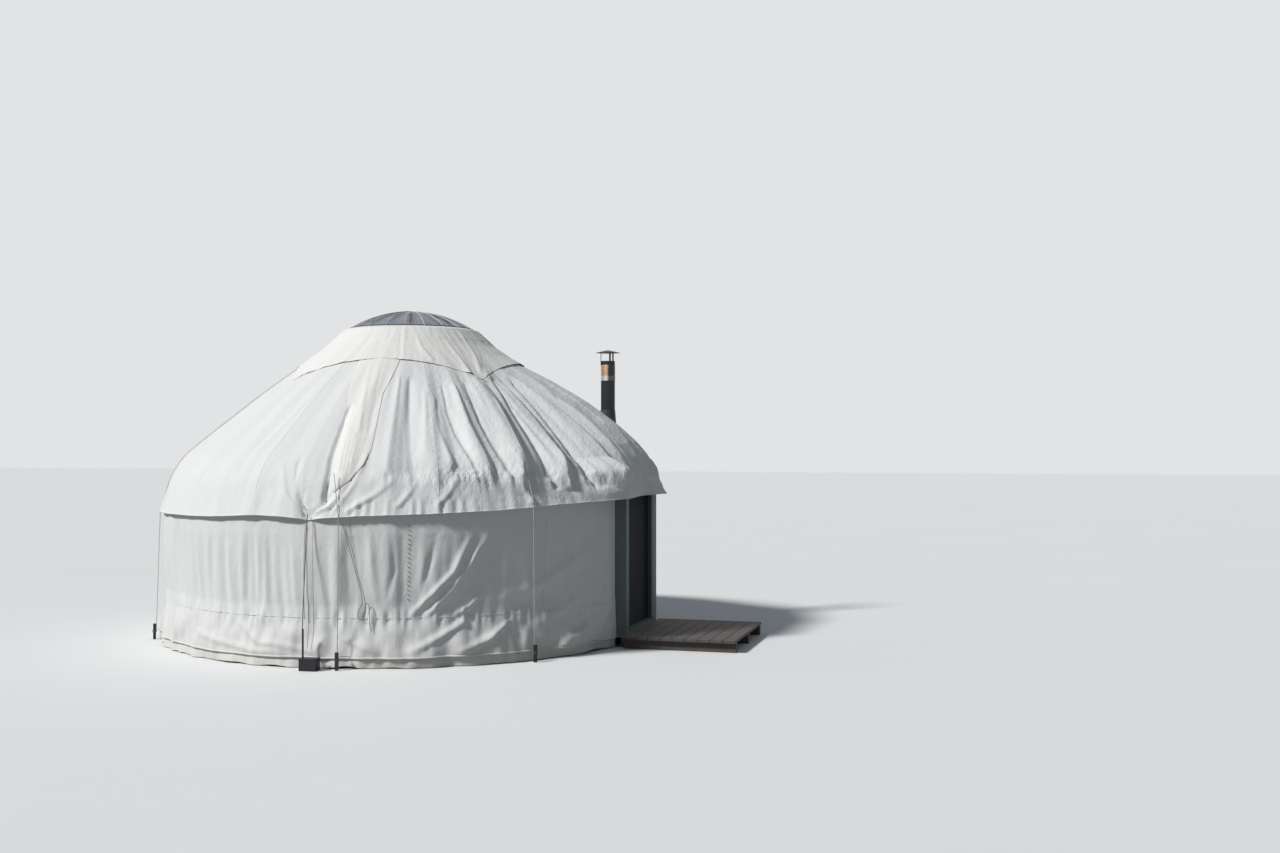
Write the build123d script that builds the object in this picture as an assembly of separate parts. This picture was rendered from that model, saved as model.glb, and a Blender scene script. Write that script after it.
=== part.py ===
from build123d import *
import math
import os

# A small canvas yurt on a round timber floor. Millimetres and degrees.
# The origin is on the ground under the crown, +Z is up and the door faces -Y.
# Angles round the plan start at the door and turn anticlockwise seen from above.

# Bays round the plan. A pole, a pair of lattice heads and a ridge of canvas stand on each.
BAYS = 36
DOOR_DIRECTION = -90
FIT = 0.3

# Floor and doorstep
JOIST_W = 45
JOIST_H = 78
JOIST_PITCH = 500
BOARD_T = 22
FLOOR_EDGE = 23
STEP_W = 1180
STEP_BOARD_W = 96
STEP_BOARD_GAP = 6
STEP_BOARDS = 9

# Lattice wall
LATTICE_R = 2012
ROD_T = 12
ROD_W = 34
LATTICE_H = 1030
HEAD_TAIL = 60
FOOT_TAIL = 45
ROD_REACH = 15
OFFCUT_L = 120
SECTIONS = 6
BAND_T = 3
BAND_W = 60
BAND_DROP = 200

# Door frame
DOOR_W = 820
DOOR_H = 1150
JAMB_W = 75
FRAME_STAND = 88
FRAME_DEPTH = 185
HEAD_H = 70
SILL_H = 30
STOP_T = 12
SWING_GAP = 5

# Door leaf, hinges and pull
LEAF_T = 38
LEAF_RECESS = 62
PIN_D = 10
KNUCKLE_D = 18
PIN_FIT = 0.5
KNUCKLE_GAP = 1
HINGE_H = 90
HINGE_PLATE_W = 50
HINGE_PLATE_T = 3
HINGE_INSET = 190
HINGE_SIDE = 1
PULL_H = 160
PULL_D = 14
PULL_REACH = 45
PULL_Z = 700
PULL_EDGE = 75

# Crown
HOOP_R = 575
HOOP_T = 45
HOOP_H = 105
POLE_DROP = 46
SOCKET_DEPTH = 28
WINDOW_R = 572
WINDOW_RISE = 184
WINDOW_T = 4
RIB_W = 20
RIB_T = 18
RIBS = 8
RIB_STEPS = 4
HUB_R = 48
HUB_T = 30
CAP_T = 5
CAP_INNER_R = 505
CAP_EDGE_R = 588
CAP_KNEE_R = 700
CAP_TIP_R = 1080
CAP_VALLEY_R = 860
CAP_TIPS = 9

# Roof poles
POLE_W = 28
POLE_D = 40
PITCH = 38.4
BEND_R = 560
BEND_STEPS = 5
POLE_LEG = 130
HEAD_CLEAR = 2.4

# Canvas
CANVAS_T = 8
POLE_GAP = 2.5
EAVE_FLARE = 18
ROOF_TOP_R = 590
HEM_DROP = 50
DOOR_HEM_LAP = 70
WALL_RISE = 30
WAIST_Z = 450
FOOT_GAP = 32
HOOD_W = 1090
HOOD_GAP = 6
HOOD_RISE = 35
HOOD_BAYS = 2
STRIP_T = 4
STRIP_HEAD_W = 310
STRIP_FOOT_W = 30
STRIP_INSET = 192

# Ropes, pegs and stakes
ROPE_D = 8
ROPE_ANGLES = [40, 80, 150, 210, 280, 320]
ROPE_LEAD = 15
PEG_GAP = 54
PEG_D = 22
PEG_H = 130
STRIP_ANGLE = -80
TIE_ANGLE = -86.6
TIE_D = 5
TIE_LAP = 50
STAKE_GAP = 50
STAKE_D = 14
STAKE_H = 300
STAKE_BOX_L = 130
STAKE_BOX_W = 80
STAKE_BOX_H = 90

# Flue
FLUE_D = 127
FLUE_T = 3
FLUE_INSET = 264
FLUE_ANGLE = 25
FLUE_FOOT = 1380
FLUE_TOP = 2385
FLUE_HOLE_GAP = 10
FLASH_W = 230
FLASH_L = 190
FLASH_T = 3
BOOT_T = 4
BOOT_H = 70
BAND_FLUE_Z = 2230
BAND_FLUE_H = 45
BAND_FLUE_T = 2
COWL_D = 225
COWL_GAP = 75
COWL_T = 4
COWL_RISE = 22
COWL_LEG_W = 16
COWL_LEG_T = 3
COWL_LEG_LAP = 40

# Worked out from the sizes above
BAY = 360 / BAYS
HALF_BAY_COS = math.cos(math.radians(BAY / 2))
DECK_TOP = JOIST_H + BOARD_T
LATTICE_TOP = DECK_TOP + LATTICE_H
FACE_MID = LATTICE_R - ROD_T
FACE_IN = LATTICE_R - 2 * ROD_T
FLOOR_R = LATTICE_R + FLOOR_EDGE
FRAME_FRONT = LATTICE_R + FRAME_STAND
FRAME_BACK = FRAME_FRONT - FRAME_DEPTH
FRAME_HALF = DOOR_W / 2 + JAMB_W
SILL_TOP = DECK_TOP + SILL_H
HEAD_UNDER = SILL_TOP + DOOR_H
HEAD_TOP = HEAD_UNDER + HEAD_H
POLE_OUT_R = LATTICE_R + FIT + POLE_D
SLOPE = math.tan(math.radians(PITCH))
BEND_END_Z = LATTICE_TOP + HEAD_CLEAR
BEND_RISE = BEND_R * math.tan(math.radians((90 - PITCH) / 2))
HOOP_TOP = BEND_END_Z + BEND_RISE + SLOPE * (POLE_OUT_R - HOOP_R) + POLE_DROP
CANVAS_IN = POLE_GAP
CANVAS_OUT = POLE_GAP + CANVAS_T
BAND_Z = LATTICE_TOP - BAND_DROP
HEM_Z = LATTICE_TOP - HEM_DROP
WALL_TOP = LATTICE_TOP + WALL_RISE
DOOR_HEM_Z = HEAD_UNDER - DOOR_HEM_LAP
HOOD_Z = HEAD_TOP + HOOD_RISE
FOOT_R = FLOOR_R + FOOT_GAP
STRIP_FOOT_R = LATTICE_R - STRIP_INSET
ROPE_TOP_R = CAP_TIP_R + ROPE_LEAD
PEG_R = FOOT_R + CANVAS_T + PEG_GAP + PEG_D / 2
STAKE_R = FOOT_R + CANVAS_T + STAKE_GAP + STAKE_BOX_W / 2
FLUE_R = LATTICE_R - FLUE_INSET
LEAF_FRONT = FRAME_FRONT - LEAF_RECESS
LEAF_BACK = LEAF_FRONT - LEAF_T
LEAF_HALF = DOOR_W / 2 + STOP_T - SWING_GAP
HINGE_X = HINGE_SIDE * (DOOR_W / 2 + STOP_T - KNUCKLE_D / 2 - KNUCKLE_GAP)
HINGE_Y = -(LEAF_BACK - KNUCKLE_D / 2)


def on_plan(radius, angle, z=0):
    """A point at a radius and an angle from the door."""
    turn = math.radians(DOOR_DIRECTION + angle)
    return (radius * math.cos(turn), radius * math.sin(turn), z)


def slab(points, z0, z1):
    """A closed plan outline raised from one height to another."""
    outline = Polyline(*[(p[0], p[1]) for p in points], close=True)
    return Pos(0, 0, z0) * extrude(make_face(outline), z1 - z0)


def box(x0, x1, y0, y1, z0, z1):
    """A box between its lowest and highest corners."""
    return Pos((x0 + x1) / 2, (y0 + y1) / 2, (z0 + z1) / 2) * Box(x1 - x0, y1 - y0, z1 - z0)


def flats_prism(sides, flat_r, z0, z1):
    """A regular prism with one flat square to the door."""
    corner_r = flat_r / math.cos(math.pi / sides)
    return slab([on_plan(corner_r, (i + 0.5) * 360 / sides) for i in range(sides)], z0, z1)


def wedge(angle0, angle1):
    """A tall sector of less than half a turn, from the middle out past everything."""
    far = 3 * LATTICE_R
    middle = (angle0 + angle1) / 2
    return slab([(0, 0), on_plan(far, angle0), on_plan(far, middle), on_plan(far, angle1)], -far, far)


def upright(outline, angle, width):
    """A plate that stands on a radius, cut to an outline in radius and height."""
    standing = Plane(origin=(0, 0, 0), x_dir=on_plan(1, angle), z_dir=on_plan(1, angle - 90))
    face = make_face(standing * Polyline(*outline, close=True))
    return extrude(face, width / 2, both=True)


def doorway(half_width, z0, z1):
    """The space in front of the middle, as wide as the door frame."""
    return box(-half_width, half_width, -2 * LATTICE_R, 0, z0, z1)


def roof_line(off, top_r, hem_z=None):
    """The outline over a pole, from the crown to the hem, as (radius, height) at a distance off it."""
    top_z = HOOP_TOP - POLE_DROP - SLOPE * (top_r - HOOP_R) + off / math.cos(math.radians(PITCH))
    points = [(top_r, top_z)]
    centre_r = POLE_OUT_R - BEND_R
    last = EAVE_FLARE if hem_z is not None else 0
    for i in range(BEND_STEPS + 1):
        turn = math.radians(90 - PITCH + (last - 90 + PITCH) * i / BEND_STEPS)
        reach = BEND_R + off
        points.append((centre_r + reach * math.cos(turn), BEND_END_Z + reach * math.sin(turn)))
    if hem_z is not None:
        end_r, end_z = points[-1]
        points.append((end_r + (end_z - hem_z) * math.tan(math.radians(EAVE_FLARE)), hem_z))
    return points


def ring(radius, z, skin=None):
    """A ring of canvas with a corner over each pole. With a skin, it swells over the door frame."""
    corners = []
    for i in range(BAYS):
        corners.append(on_plan(radius, i * BAY, z))
    if skin is not None:
        start = BEND_END_Z + (BEND_R + skin) * math.sin(math.radians(90 - PITCH))
        share = min(1, max(0, (start - z) / (start - HOOD_Z)))
        for step in range(-HOOD_BAYS, HOOD_BAYS + 1):
            x = step * (HOOD_W / 2 - CANVAS_OUT + skin) / HOOD_BAYS
            y = -(FRAME_FRONT + HOOD_GAP - CANVAS_IN + skin)
            old = corners[step % BAYS]
            corners[step % BAYS] = (old[0] + share * (x - old[0]), old[1] + share * (y - old[1]), z)
    return Wire.make_polygon(corners)


def through(rings):
    """A solid through rings, with straight sides between them."""
    return Solid.make_loft(rings, ruled=True)


def floor_joists():
    """Joists that lie on the ground, cut to the round of the floor, and one under the door sill."""
    joists = []
    rows = math.floor((FLOOR_R - JOIST_W) / JOIST_PITCH)
    for i in range(-rows, rows + 1):
        y = i * JOIST_PITCH
        half = math.sqrt(FLOOR_R ** 2 - (abs(y) + JOIST_W / 2) ** 2) - JOIST_W / 2
        joists.append(box(-half, half, y - JOIST_W / 2, y + JOIST_W / 2, 0, JOIST_H))
    joists.append(box(-FRAME_HALF, FRAME_HALF, -FRAME_FRONT, -FRAME_FRONT + JOIST_W, 0, JOIST_H))
    return joists


def floor_deck():
    """The round floor, with a square bay that carries the door frame."""
    disc = Pos(0, 0, JOIST_H + BOARD_T / 2) * Cylinder(FLOOR_R, BOARD_T)
    return disc + box(-FRAME_HALF, FRAME_HALF, -FRAME_FRONT, 0, JOIST_H, DECK_TOP)


def step_depth():
    """How far the doorstep runs out from the door frame."""
    return STEP_BOARDS * (STEP_BOARD_W + STEP_BOARD_GAP) - STEP_BOARD_GAP


def doorstep_joists():
    """Three joists under the doorstep, square to the door."""
    front = -FRAME_FRONT - FIT
    inset = STEP_W / 2 - 1.5 * JOIST_W
    places = (-inset, 0, inset)
    return [box(x - JOIST_W / 2, x + JOIST_W / 2, front - step_depth(), front, 0, JOIST_H) for x in places]


def doorstep_boards():
    """Boards across the doorstep joists, with gaps that let the rain through."""
    boards = []
    for i in range(STEP_BOARDS):
        y = -FRAME_FRONT - FIT - i * (STEP_BOARD_W + STEP_BOARD_GAP)
        boards.append(box(-STEP_W / 2, STEP_W / 2, y - STEP_BOARD_W, y, JOIST_H, DECK_TOP))
    return boards


def lattice_rod(middle, lean, layer):
    """A flat rod that leans along the wall, bent to the facets of its layer, feet and head cut level."""
    rise = (LATTICE_H - HEAD_TAIL - FOOT_TAIL) / 2
    run = FACE_MID * math.sin(math.radians(ROD_REACH))
    tilt = math.degrees(math.atan2(rise, run))
    centre = on_plan(FACE_MID, middle, DECK_TOP + FOOT_TAIL + rise)
    out = Vector(*on_plan(1, middle))
    sideways = Vector(*on_plan(1, middle + 90))
    lean_to = math.radians(tilt) * lean
    along = sideways * math.cos(lean_to) + Vector(0, 0, 1) * math.sin(lean_to)
    length = 3 * math.hypot(rise, run)
    blade = Plane(origin=centre, x_dir=along, z_dir=out) * Box(length, ROD_W, LATTICE_R / 4)
    return layer & blade


def lattice():
    """The two layers of rods, fused where they cross, in sections that end at the door frame."""
    facets = 2 * BAYS
    outer = flats_prism(facets, LATTICE_R, DECK_TOP, LATTICE_TOP) \
        - flats_prism(facets, FACE_MID, DECK_TOP, LATTICE_TOP)
    inner = flats_prism(facets, FACE_MID, DECK_TOP, LATTICE_TOP) \
        - flats_prism(facets, FACE_IN, DECK_TOP, LATTICE_TOP)
    frame = doorway(FRAME_HALF, 0, 2 * LATTICE_TOP)
    groups = [[] for _ in range(SECTIONS)]
    for i in range(BAYS):
        for lean, layer in ((1, outer), (-1, inner)):
            middle = (i + 0.5) * BAY
            rod = lattice_rod(middle, lean, layer)
            if min(middle, 360 - middle) < 2 * ROD_REACH + BAY:
                rod = rod - frame
            for piece in rod.solids():
                if piece.volume < OFFCUT_L * ROD_W * ROD_T:
                    continue
                at = piece.center()
                turn = (math.degrees(math.atan2(at.Y, at.X)) - DOOR_DIRECTION) % 360
                groups[int(turn * SECTIONS / 360)].append(piece)
    return [pieces[0].fuse(*pieces[1:]) for pieces in groups]


def wall_band():
    """The belt round the lattice under the poles, from one jamb to the other."""
    facets = 2 * BAYS
    outer = flats_prism(facets, LATTICE_R + FIT + BAND_T, BAND_Z, BAND_Z + BAND_W)
    belt = outer - flats_prism(facets, LATTICE_R + FIT, BAND_Z, BAND_Z + BAND_W)
    return belt - doorway(FRAME_HALF, 0, 2 * BAND_Z)


def door_jamb(side):
    """One upright of the frame, rebated for the leaf, from the deck to the top of the head."""
    face = side * DOOR_W / 2
    outer = side * FRAME_HALF
    seat = side * (DOOR_W / 2 + STOP_T)
    stop = -LEAF_FRONT - SWING_GAP
    outline = [(face, -FRAME_FRONT), (outer, -FRAME_FRONT), (outer, -FRAME_BACK),
               (seat, -FRAME_BACK), (seat, stop), (face, stop)]
    return slab(outline, DECK_TOP, HEAD_UNDER)


def door_head():
    """The head of the frame, across both jambs, with the same rebate."""
    beam = box(-FRAME_HALF, FRAME_HALF, -FRAME_FRONT, -FRAME_BACK, HEAD_UNDER, HEAD_TOP)
    seat = DOOR_W / 2 + STOP_T
    rebate = box(-seat, seat, -LEAF_FRONT - SWING_GAP, -FRAME_BACK, HEAD_UNDER, HEAD_UNDER + STOP_T)
    return beam - rebate


def door_sill():
    """The sill between the jambs, lower behind the leaf."""
    half = DOOR_W / 2
    front = box(-half, half, -FRAME_FRONT, -LEAF_FRONT - SWING_GAP, DECK_TOP, SILL_TOP)
    back = box(-half - STOP_T, half + STOP_T, -LEAF_FRONT - SWING_GAP, -FRAME_BACK,
               DECK_TOP, SILL_TOP - STOP_T)
    return front + back


def door_leaf():
    """The ledged leaf, closed in its rebate with a running gap all round."""
    low = SILL_TOP - STOP_T + SWING_GAP
    high = HEAD_UNDER + STOP_T - SWING_GAP
    return box(-LEAF_HALF, LEAF_HALF, -LEAF_FRONT, -LEAF_BACK, low, high)


def hinge_heights():
    """The middles of the two hinges."""
    return (SILL_TOP + HINGE_INSET, HEAD_UNDER - HINGE_INSET)


def hinge_frame():
    """Fixed halves: a plate on the jamb with an upper and a lower knuckle and the pin through both."""
    halves = []
    third = HINGE_H / 3
    seat = HINGE_SIDE * (DOOR_W / 2 + STOP_T)
    low_x, high_x = sorted((seat, seat - HINGE_SIDE * HINGE_PLATE_T))
    clear = HINGE_Y + KNUCKLE_D / 2 + KNUCKLE_GAP
    for z in hinge_heights():
        half = Pos(HINGE_X, HINGE_Y, z) * Cylinder(PIN_D / 2, HINGE_H)
        half += box(low_x, high_x, clear, clear + HINGE_PLATE_W, z - HINGE_H / 2, z + HINGE_H / 2)
        for end in (z - third, z + third):
            half += Pos(HINGE_X, HINGE_Y, end) * Cylinder(KNUCKLE_D / 2, third)
            half += box(low_x, high_x, HINGE_Y, clear, end - third / 2, end + third / 2)
        halves.append(half)
    return halves


def hinge_leaf():
    """Moving halves: the middle knuckle round the pin, with its plate on the back of the leaf."""
    halves = []
    third = HINGE_H / 3 - 2 * PIN_FIT
    clear = HINGE_X - HINGE_SIDE * (KNUCKLE_D / 2 + KNUCKLE_GAP)
    far = clear - HINGE_SIDE * HINGE_PLATE_W
    for z in hinge_heights():
        half = Pos(HINGE_X, HINGE_Y, z) * Cylinder(KNUCKLE_D / 2, third)
        for ends, height in (((HINGE_X, clear), third), ((clear, far), HINGE_H)):
            low_x, high_x = sorted(ends)
            half += box(low_x, high_x, -LEAF_BACK, -LEAF_BACK + HINGE_PLATE_T, z - height / 2, z + height / 2)
        halves.append(half - Pos(HINGE_X, HINGE_Y, z) * Cylinder(PIN_D / 2 + PIN_FIT, HINGE_H))
    return halves


def door_pull():
    """A bent bar pull on the face of the leaf, at the edge away from the hinges."""
    x = -HINGE_SIDE * (LEAF_HALF - PULL_EDGE)
    front = -LEAF_FRONT - PULL_REACH
    grip = box(x - PULL_D / 2, x + PULL_D / 2, front, front + PULL_D, PULL_Z, PULL_Z + PULL_H)
    for z in (PULL_Z, PULL_Z + PULL_H - PULL_D):
        grip += box(x - PULL_D / 2, x + PULL_D / 2, front, -LEAF_FRONT, z, z + PULL_D)
    return grip


def pole_angles():
    """The angle of each pole from the door."""
    return [i * BAY for i in range(BAYS)]


def pole_outline(top_r, grow=0):
    """The outline of a bent pole in radius and height, grown all round for its socket."""
    outer = roof_line(grow, top_r) + [(POLE_OUT_R + grow, BEND_END_Z - POLE_LEG)]
    inner = roof_line(-POLE_D - grow, top_r) + [(POLE_OUT_R - POLE_D - grow, BEND_END_Z - POLE_LEG)]
    return outer + inner[::-1]


def roof_poles():
    """Bent poles, tied at their feet to the lattice heads or standing on the door head."""
    poles = []
    for angle in pole_angles():
        pole = upright(pole_outline(HOOP_R - SOCKET_DEPTH), angle, POLE_W)
        if abs(on_plan(POLE_OUT_R, angle)[0]) < FRAME_HALF and on_plan(1, angle)[1] < 0:
            pole -= doorway(FRAME_HALF, 0, HEAD_TOP)
        poles.append(pole)
    return poles


def crown_hoop():
    """The bent hoop, with a socket for the head of each pole."""
    tube = Cylinder(HOOP_R, HOOP_H) - Cylinder(HOOP_R - HOOP_T, HOOP_H)
    hoop = Pos(0, 0, HOOP_TOP - HOOP_H / 2) * tube
    head = pole_outline(HOOP_R - SOCKET_DEPTH - FIT, FIT)
    above = roof_line(FIT, HOOP_R + HOOP_T)[0]
    below = roof_line(-POLE_D - FIT, HOOP_R + HOOP_T)[0]
    plug = [head[0], above, below, head[-1]]
    sockets = [upright(plug, angle, POLE_W + 2 * FIT) for angle in pole_angles()]
    return hoop - sockets


def window_ball():
    """The radius of the window's outer face and the height of its middle."""
    radius = (WINDOW_R ** 2 + WINDOW_RISE ** 2) / (2 * WINDOW_RISE)
    return radius, HOOP_TOP + WINDOW_RISE - radius


def crown_window():
    """The clear domed window that lies on the hoop and its ribs."""
    radius, middle = window_ball()
    shell = Sphere(radius) - Sphere(radius - WINDOW_T)
    keep = box(-radius, radius, -radius, radius, HOOP_TOP - middle + FIT, 2 * radius)
    return Pos(0, 0, middle) * (shell & keep)


def crown_ribs():
    """Bent ribs from the hoop to a round hub, close under the window."""
    radius, middle = window_ball()
    outer = radius - WINDOW_T - FIT
    top = middle + math.sqrt(outer ** 2 - HUB_R ** 2)
    hub = Pos(0, 0, top - HUB_T / 2) * Cylinder(HUB_R, HUB_T)
    foot_out = math.degrees(math.asin((HOOP_TOP - middle) / outer))
    foot_in = math.degrees(math.asin((HOOP_TOP - middle) / (outer - RIB_T)))
    head = math.degrees(math.acos(HUB_R / 2 / outer))
    outline = []
    for size, foot in ((outer, foot_out), (outer - RIB_T, foot_in)):
        side = []
        for step in range(RIB_STEPS + 1):
            turn = math.radians(foot + (head - foot) * step / RIB_STEPS)
            side.append((size * math.cos(turn), middle + size * math.sin(turn)))
        outline += side if size == outer else side[::-1]
    ribs = [upright(outline, (i + 0.5) * 360 / RIBS, RIB_W) for i in range(RIBS)]
    below = box(-HUB_R, HUB_R, -HUB_R, HUB_R, top, top + HUB_T)
    return (hub + ribs) - below


def roof_points(off, top_r=ROOF_TOP_R):
    """The canvas outline from the crown to the hem, at a distance off the poles."""
    return roof_line(off, top_r, HEM_Z)


def roof_canvas():
    """The roof canvas, straight from pole to pole, in gores. It swells over the door frame."""
    outer = through([ring(r, z, CANVAS_OUT) for r, z in roof_points(CANVAS_OUT)])
    inner = through([ring(r, z, CANVAS_IN) for r, z in roof_points(CANVAS_IN)])
    cloth = outer - inner
    cloth -= slab([on_plan(ROOF_TOP_R, i * BAY) for i in range(BAYS)], 0, 2 * HOOP_TOP)
    cloth -= doorway(HOOD_W / 2 + 2 * CANVAS_OUT, 0, DOOR_HEM_Z)
    x, y, _ = on_plan(FLUE_R, FLUE_ANGLE)
    cloth -= Pos(x, y, LATTICE_TOP) * Cylinder(FLUE_D / 2 + FLUE_HOLE_GAP, 2 * LATTICE_H)
    return cloth


def wall_canvas():
    """The wall canvas, drawn in at the waist by its lacing, from the eave to the ground."""
    waist = (LATTICE_R + FIT) / HALF_BAY_COS
    head = POLE_OUT_R + FIT + POLE_W / 2 * math.tan(math.radians(BAY / 2))
    levels = [(FOOT_R, 0), (waist, WAIST_Z), (head, BEND_END_Z - POLE_LEG), (head, WALL_TOP)]
    outer = through([ring(r + CANVAS_T, z) for r, z in levels])
    cloth = outer - through([ring(r, z) for r, z in levels])
    return cloth - doorway(FRAME_HALF, -1, 2 * WALL_TOP)


def in_sectors(whole, count):
    """The pieces of a round wall between equal steps of angle from the door."""
    step = 360 / count
    return [whole & wedge(i * step, (i + 1) * step) for i in range(count)]


def cap_star():
    """The edge of the cap in plan, with hollows between its tips."""
    star = []
    for i in range(CAP_TIPS):
        star.append(on_plan(CAP_TIP_R - CAP_T, i * 360 / CAP_TIPS))
        star.append(on_plan(CAP_VALLEY_R, (i + 0.5) * 360 / CAP_TIPS))
    return star


def crown_cap():
    """The cream cap round the window: a skirt from the hoop to the roof, cut to a star."""
    over = CANVAS_OUT + FIT
    radius, middle = window_ball()
    crest = middle + math.sqrt(radius ** 2 - CAP_INNER_R ** 2)

    def levels(off, rise):
        flat = roof_line(off, CAP_KNEE_R)[0]
        tip = roof_line(off, CAP_TIP_R)[0]
        return [(CAP_INNER_R, crest + 2 + rise), (CAP_EDGE_R + rise, HOOP_TOP + 3 + rise), flat, tip]

    outer = through([ring(r, z) for r, z in levels(over + CAP_T, CAP_T)])
    inner = through([ring(r, z) for r, z in levels(over, 0)])
    shell = outer - inner
    shell &= slab(cap_star(), 0, 2 * HOOP_TOP)
    return shell - Cylinder(CAP_INNER_R * HALF_BAY_COS, 3 * HOOP_TOP)


def roof_strip():
    """The long flap of the cap, that tapers down over one ridge of the roof to the eave."""
    low = CANVAS_OUT + FIT
    ends = ((CAP_KNEE_R, STRIP_HEAD_W), (STRIP_FOOT_R, STRIP_FOOT_W))
    outer = through([ring(*roof_line(low + STRIP_T, r)[0]) for r, _ in ends])
    inner = through([ring(*roof_line(low, r)[0]) for r, _ in ends])
    taper = []
    for side in (1, -1):
        for r, width in ends[::side]:
            taper.append(on_plan(r, STRIP_ANGLE + side * math.degrees(math.atan2(width / 2, r))))
    flap = (outer - inner) & slab(taper, 0, 2 * HOOP_TOP)
    return flap - slab(cap_star(), 0, 2 * HOOP_TOP)


def tie_ropes():
    """Taut ropes from the edge of the cap, over the eave and down to pegs at the foot of the wall."""
    ropes = []
    for angle in ROPE_ANGLES:
        under = CANVAS_OUT + FIT
        top_r = ROPE_TOP_R
        if (angle - STRIP_ANGLE) % 360 == 0:
            top_r = STRIP_FOOT_R + ROPE_D
        inside = roof_line(under, top_r, HEM_Z)
        outside = roof_line(under + ROPE_D, top_r, HEM_Z)
        foot_r = PEG_R - PEG_D / 2 - FIT
        inside.append((foot_r - ROPE_D, PEG_H / 2))
        outside.append((foot_r, PEG_H / 2))
        ropes.append(upright(outside + inside[::-1], angle, ROPE_D))
    return ropes


def rope_pegs():
    """Square wooden pegs that hold the feet of the ropes."""
    pegs = []
    for angle in ROPE_ANGLES:
        pegs.append(Pos(*on_plan(PEG_R, angle, PEG_H / 2)) * Rot(0, 0, angle) * Box(PEG_D, PEG_D, PEG_H))
    return pegs


def hem_tie():
    """A taut cord from the hem of the roof canvas down to the taller stake."""
    hem_r = roof_line(CANVAS_OUT + FIT, ROOF_TOP_R, HEM_Z)[-1][0]
    turn = math.radians(TIE_ANGLE % BAY - BAY / 2)
    top_r = hem_r * HALF_BAY_COS / math.cos(turn)
    foot_r = STAKE_R + STAKE_D / 2 + FIT
    high_r = top_r - TIE_LAP * math.tan(math.radians(EAVE_FLARE))
    inside = [(high_r, HEM_Z + TIE_LAP), (top_r, HEM_Z), (foot_r, STAKE_H), (foot_r, STAKE_H - TIE_LAP)]
    outline = inside + [(r + TIE_D, z) for r, z in inside[::-1]]
    return upright(outline, TIE_ANGLE, TIE_D)


def tie_stakes():
    """A dark box on the ground with a steel stake at one end."""
    stake = Pos(0, 0, STAKE_H / 2) * Cylinder(STAKE_D / 2, STAKE_H)
    stake += Pos(0, STAKE_BOX_L / 2 - STAKE_D, STAKE_BOX_H / 2) * Box(STAKE_BOX_W, STAKE_BOX_L, STAKE_BOX_H)
    return Pos(*on_plan(STAKE_R, TIE_ANGLE)) * Rot(0, 0, DOOR_DIRECTION + TIE_ANGLE) * stake


def flue_place(z=0):
    """A point on the middle line of the flue."""
    return Pos(*on_plan(FLUE_R, FLUE_ANGLE, z))


def flue_pipe():
    """The stove pipe, open at both ends."""
    height = FLUE_TOP - FLUE_FOOT
    tube = Cylinder(FLUE_D / 2, height) - Cylinder(FLUE_D / 2 - FLUE_T, height)
    return flue_place((FLUE_TOP + FLUE_FOOT) / 2) * tube


def flue_flashing():
    """A sloped plate on the canvas with an upright boot that the pipe passes through."""
    ridge_r = FLUE_R / HALF_BAY_COS
    z = roof_line(CANVAS_OUT + FIT, ridge_r)[0][1]
    fall = math.atan(SLOPE / HALF_BAY_COS)
    out = Vector(*on_plan(1, FLUE_ANGLE))
    normal = out * math.sin(fall) + Vector(0, 0, 1) * math.cos(fall)
    down = out * math.cos(fall) - Vector(0, 0, 1) * math.sin(fall)
    lying = Plane(origin=on_plan(FLUE_R, FLUE_ANGLE, z), x_dir=down, z_dir=normal)
    plate = lying * (Pos(0, 0, FLASH_T / 2) * Box(FLASH_L, FLASH_W, FLASH_T))
    boot_r = FLUE_D / 2 + FIT + BOOT_T
    boot = flue_place(z) * Cylinder(boot_r, 2 * BOOT_H)
    boot &= lying * (Pos(0, 0, FLASH_L) * Box(2 * FLASH_L, FLASH_W, 2 * FLASH_L))
    hole = flue_place(z) * Cylinder(FLUE_D / 2 + FIT, 4 * BOOT_H)
    return plate + boot - hole


def flue_band():
    """The bright band round the upper joint of the pipe."""
    outer = Cylinder(FLUE_D / 2 + BAND_FLUE_T, BAND_FLUE_H)
    return flue_place(BAND_FLUE_Z) * (outer - Cylinder(FLUE_D / 2, BAND_FLUE_H))


def flue_cowl():
    """The rain cap: a shallow cone on three flat legs fixed to the outside of the pipe."""
    cone = Cone(COWL_D / 2, COWL_LEG_W, COWL_RISE)
    cap = Pos(0, 0, COWL_GAP + COWL_RISE / 2) * (cone - Pos(0, 0, -COWL_T) * cone)
    leg_x = FLUE_D / 2 + COWL_LEG_T / 2
    share = (COWL_D / 2 - leg_x) / (COWL_D / 2 - COWL_LEG_W)
    top = COWL_GAP + COWL_RISE * share - COWL_T / 2
    leg = box(FLUE_D / 2, FLUE_D / 2 + COWL_LEG_T, -COWL_LEG_W / 2, COWL_LEG_W / 2, -COWL_LEG_LAP, top)
    for i in range(3):
        cap += Rot(0, 0, i * 120) * leg
    return flue_place(FLUE_TOP) * cap


def save(name, shape):
    """Write one node, whose pieces may be several solids."""
    pieces = shape if isinstance(shape, list) else [shape]
    solids = [solid for piece in pieces for solid in piece.solids()]
    export_step(Compound(children=solids) if len(solids) > 1 else solids[0], "parts/" + name + ".step")


os.makedirs("parts", exist_ok=True)

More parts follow.
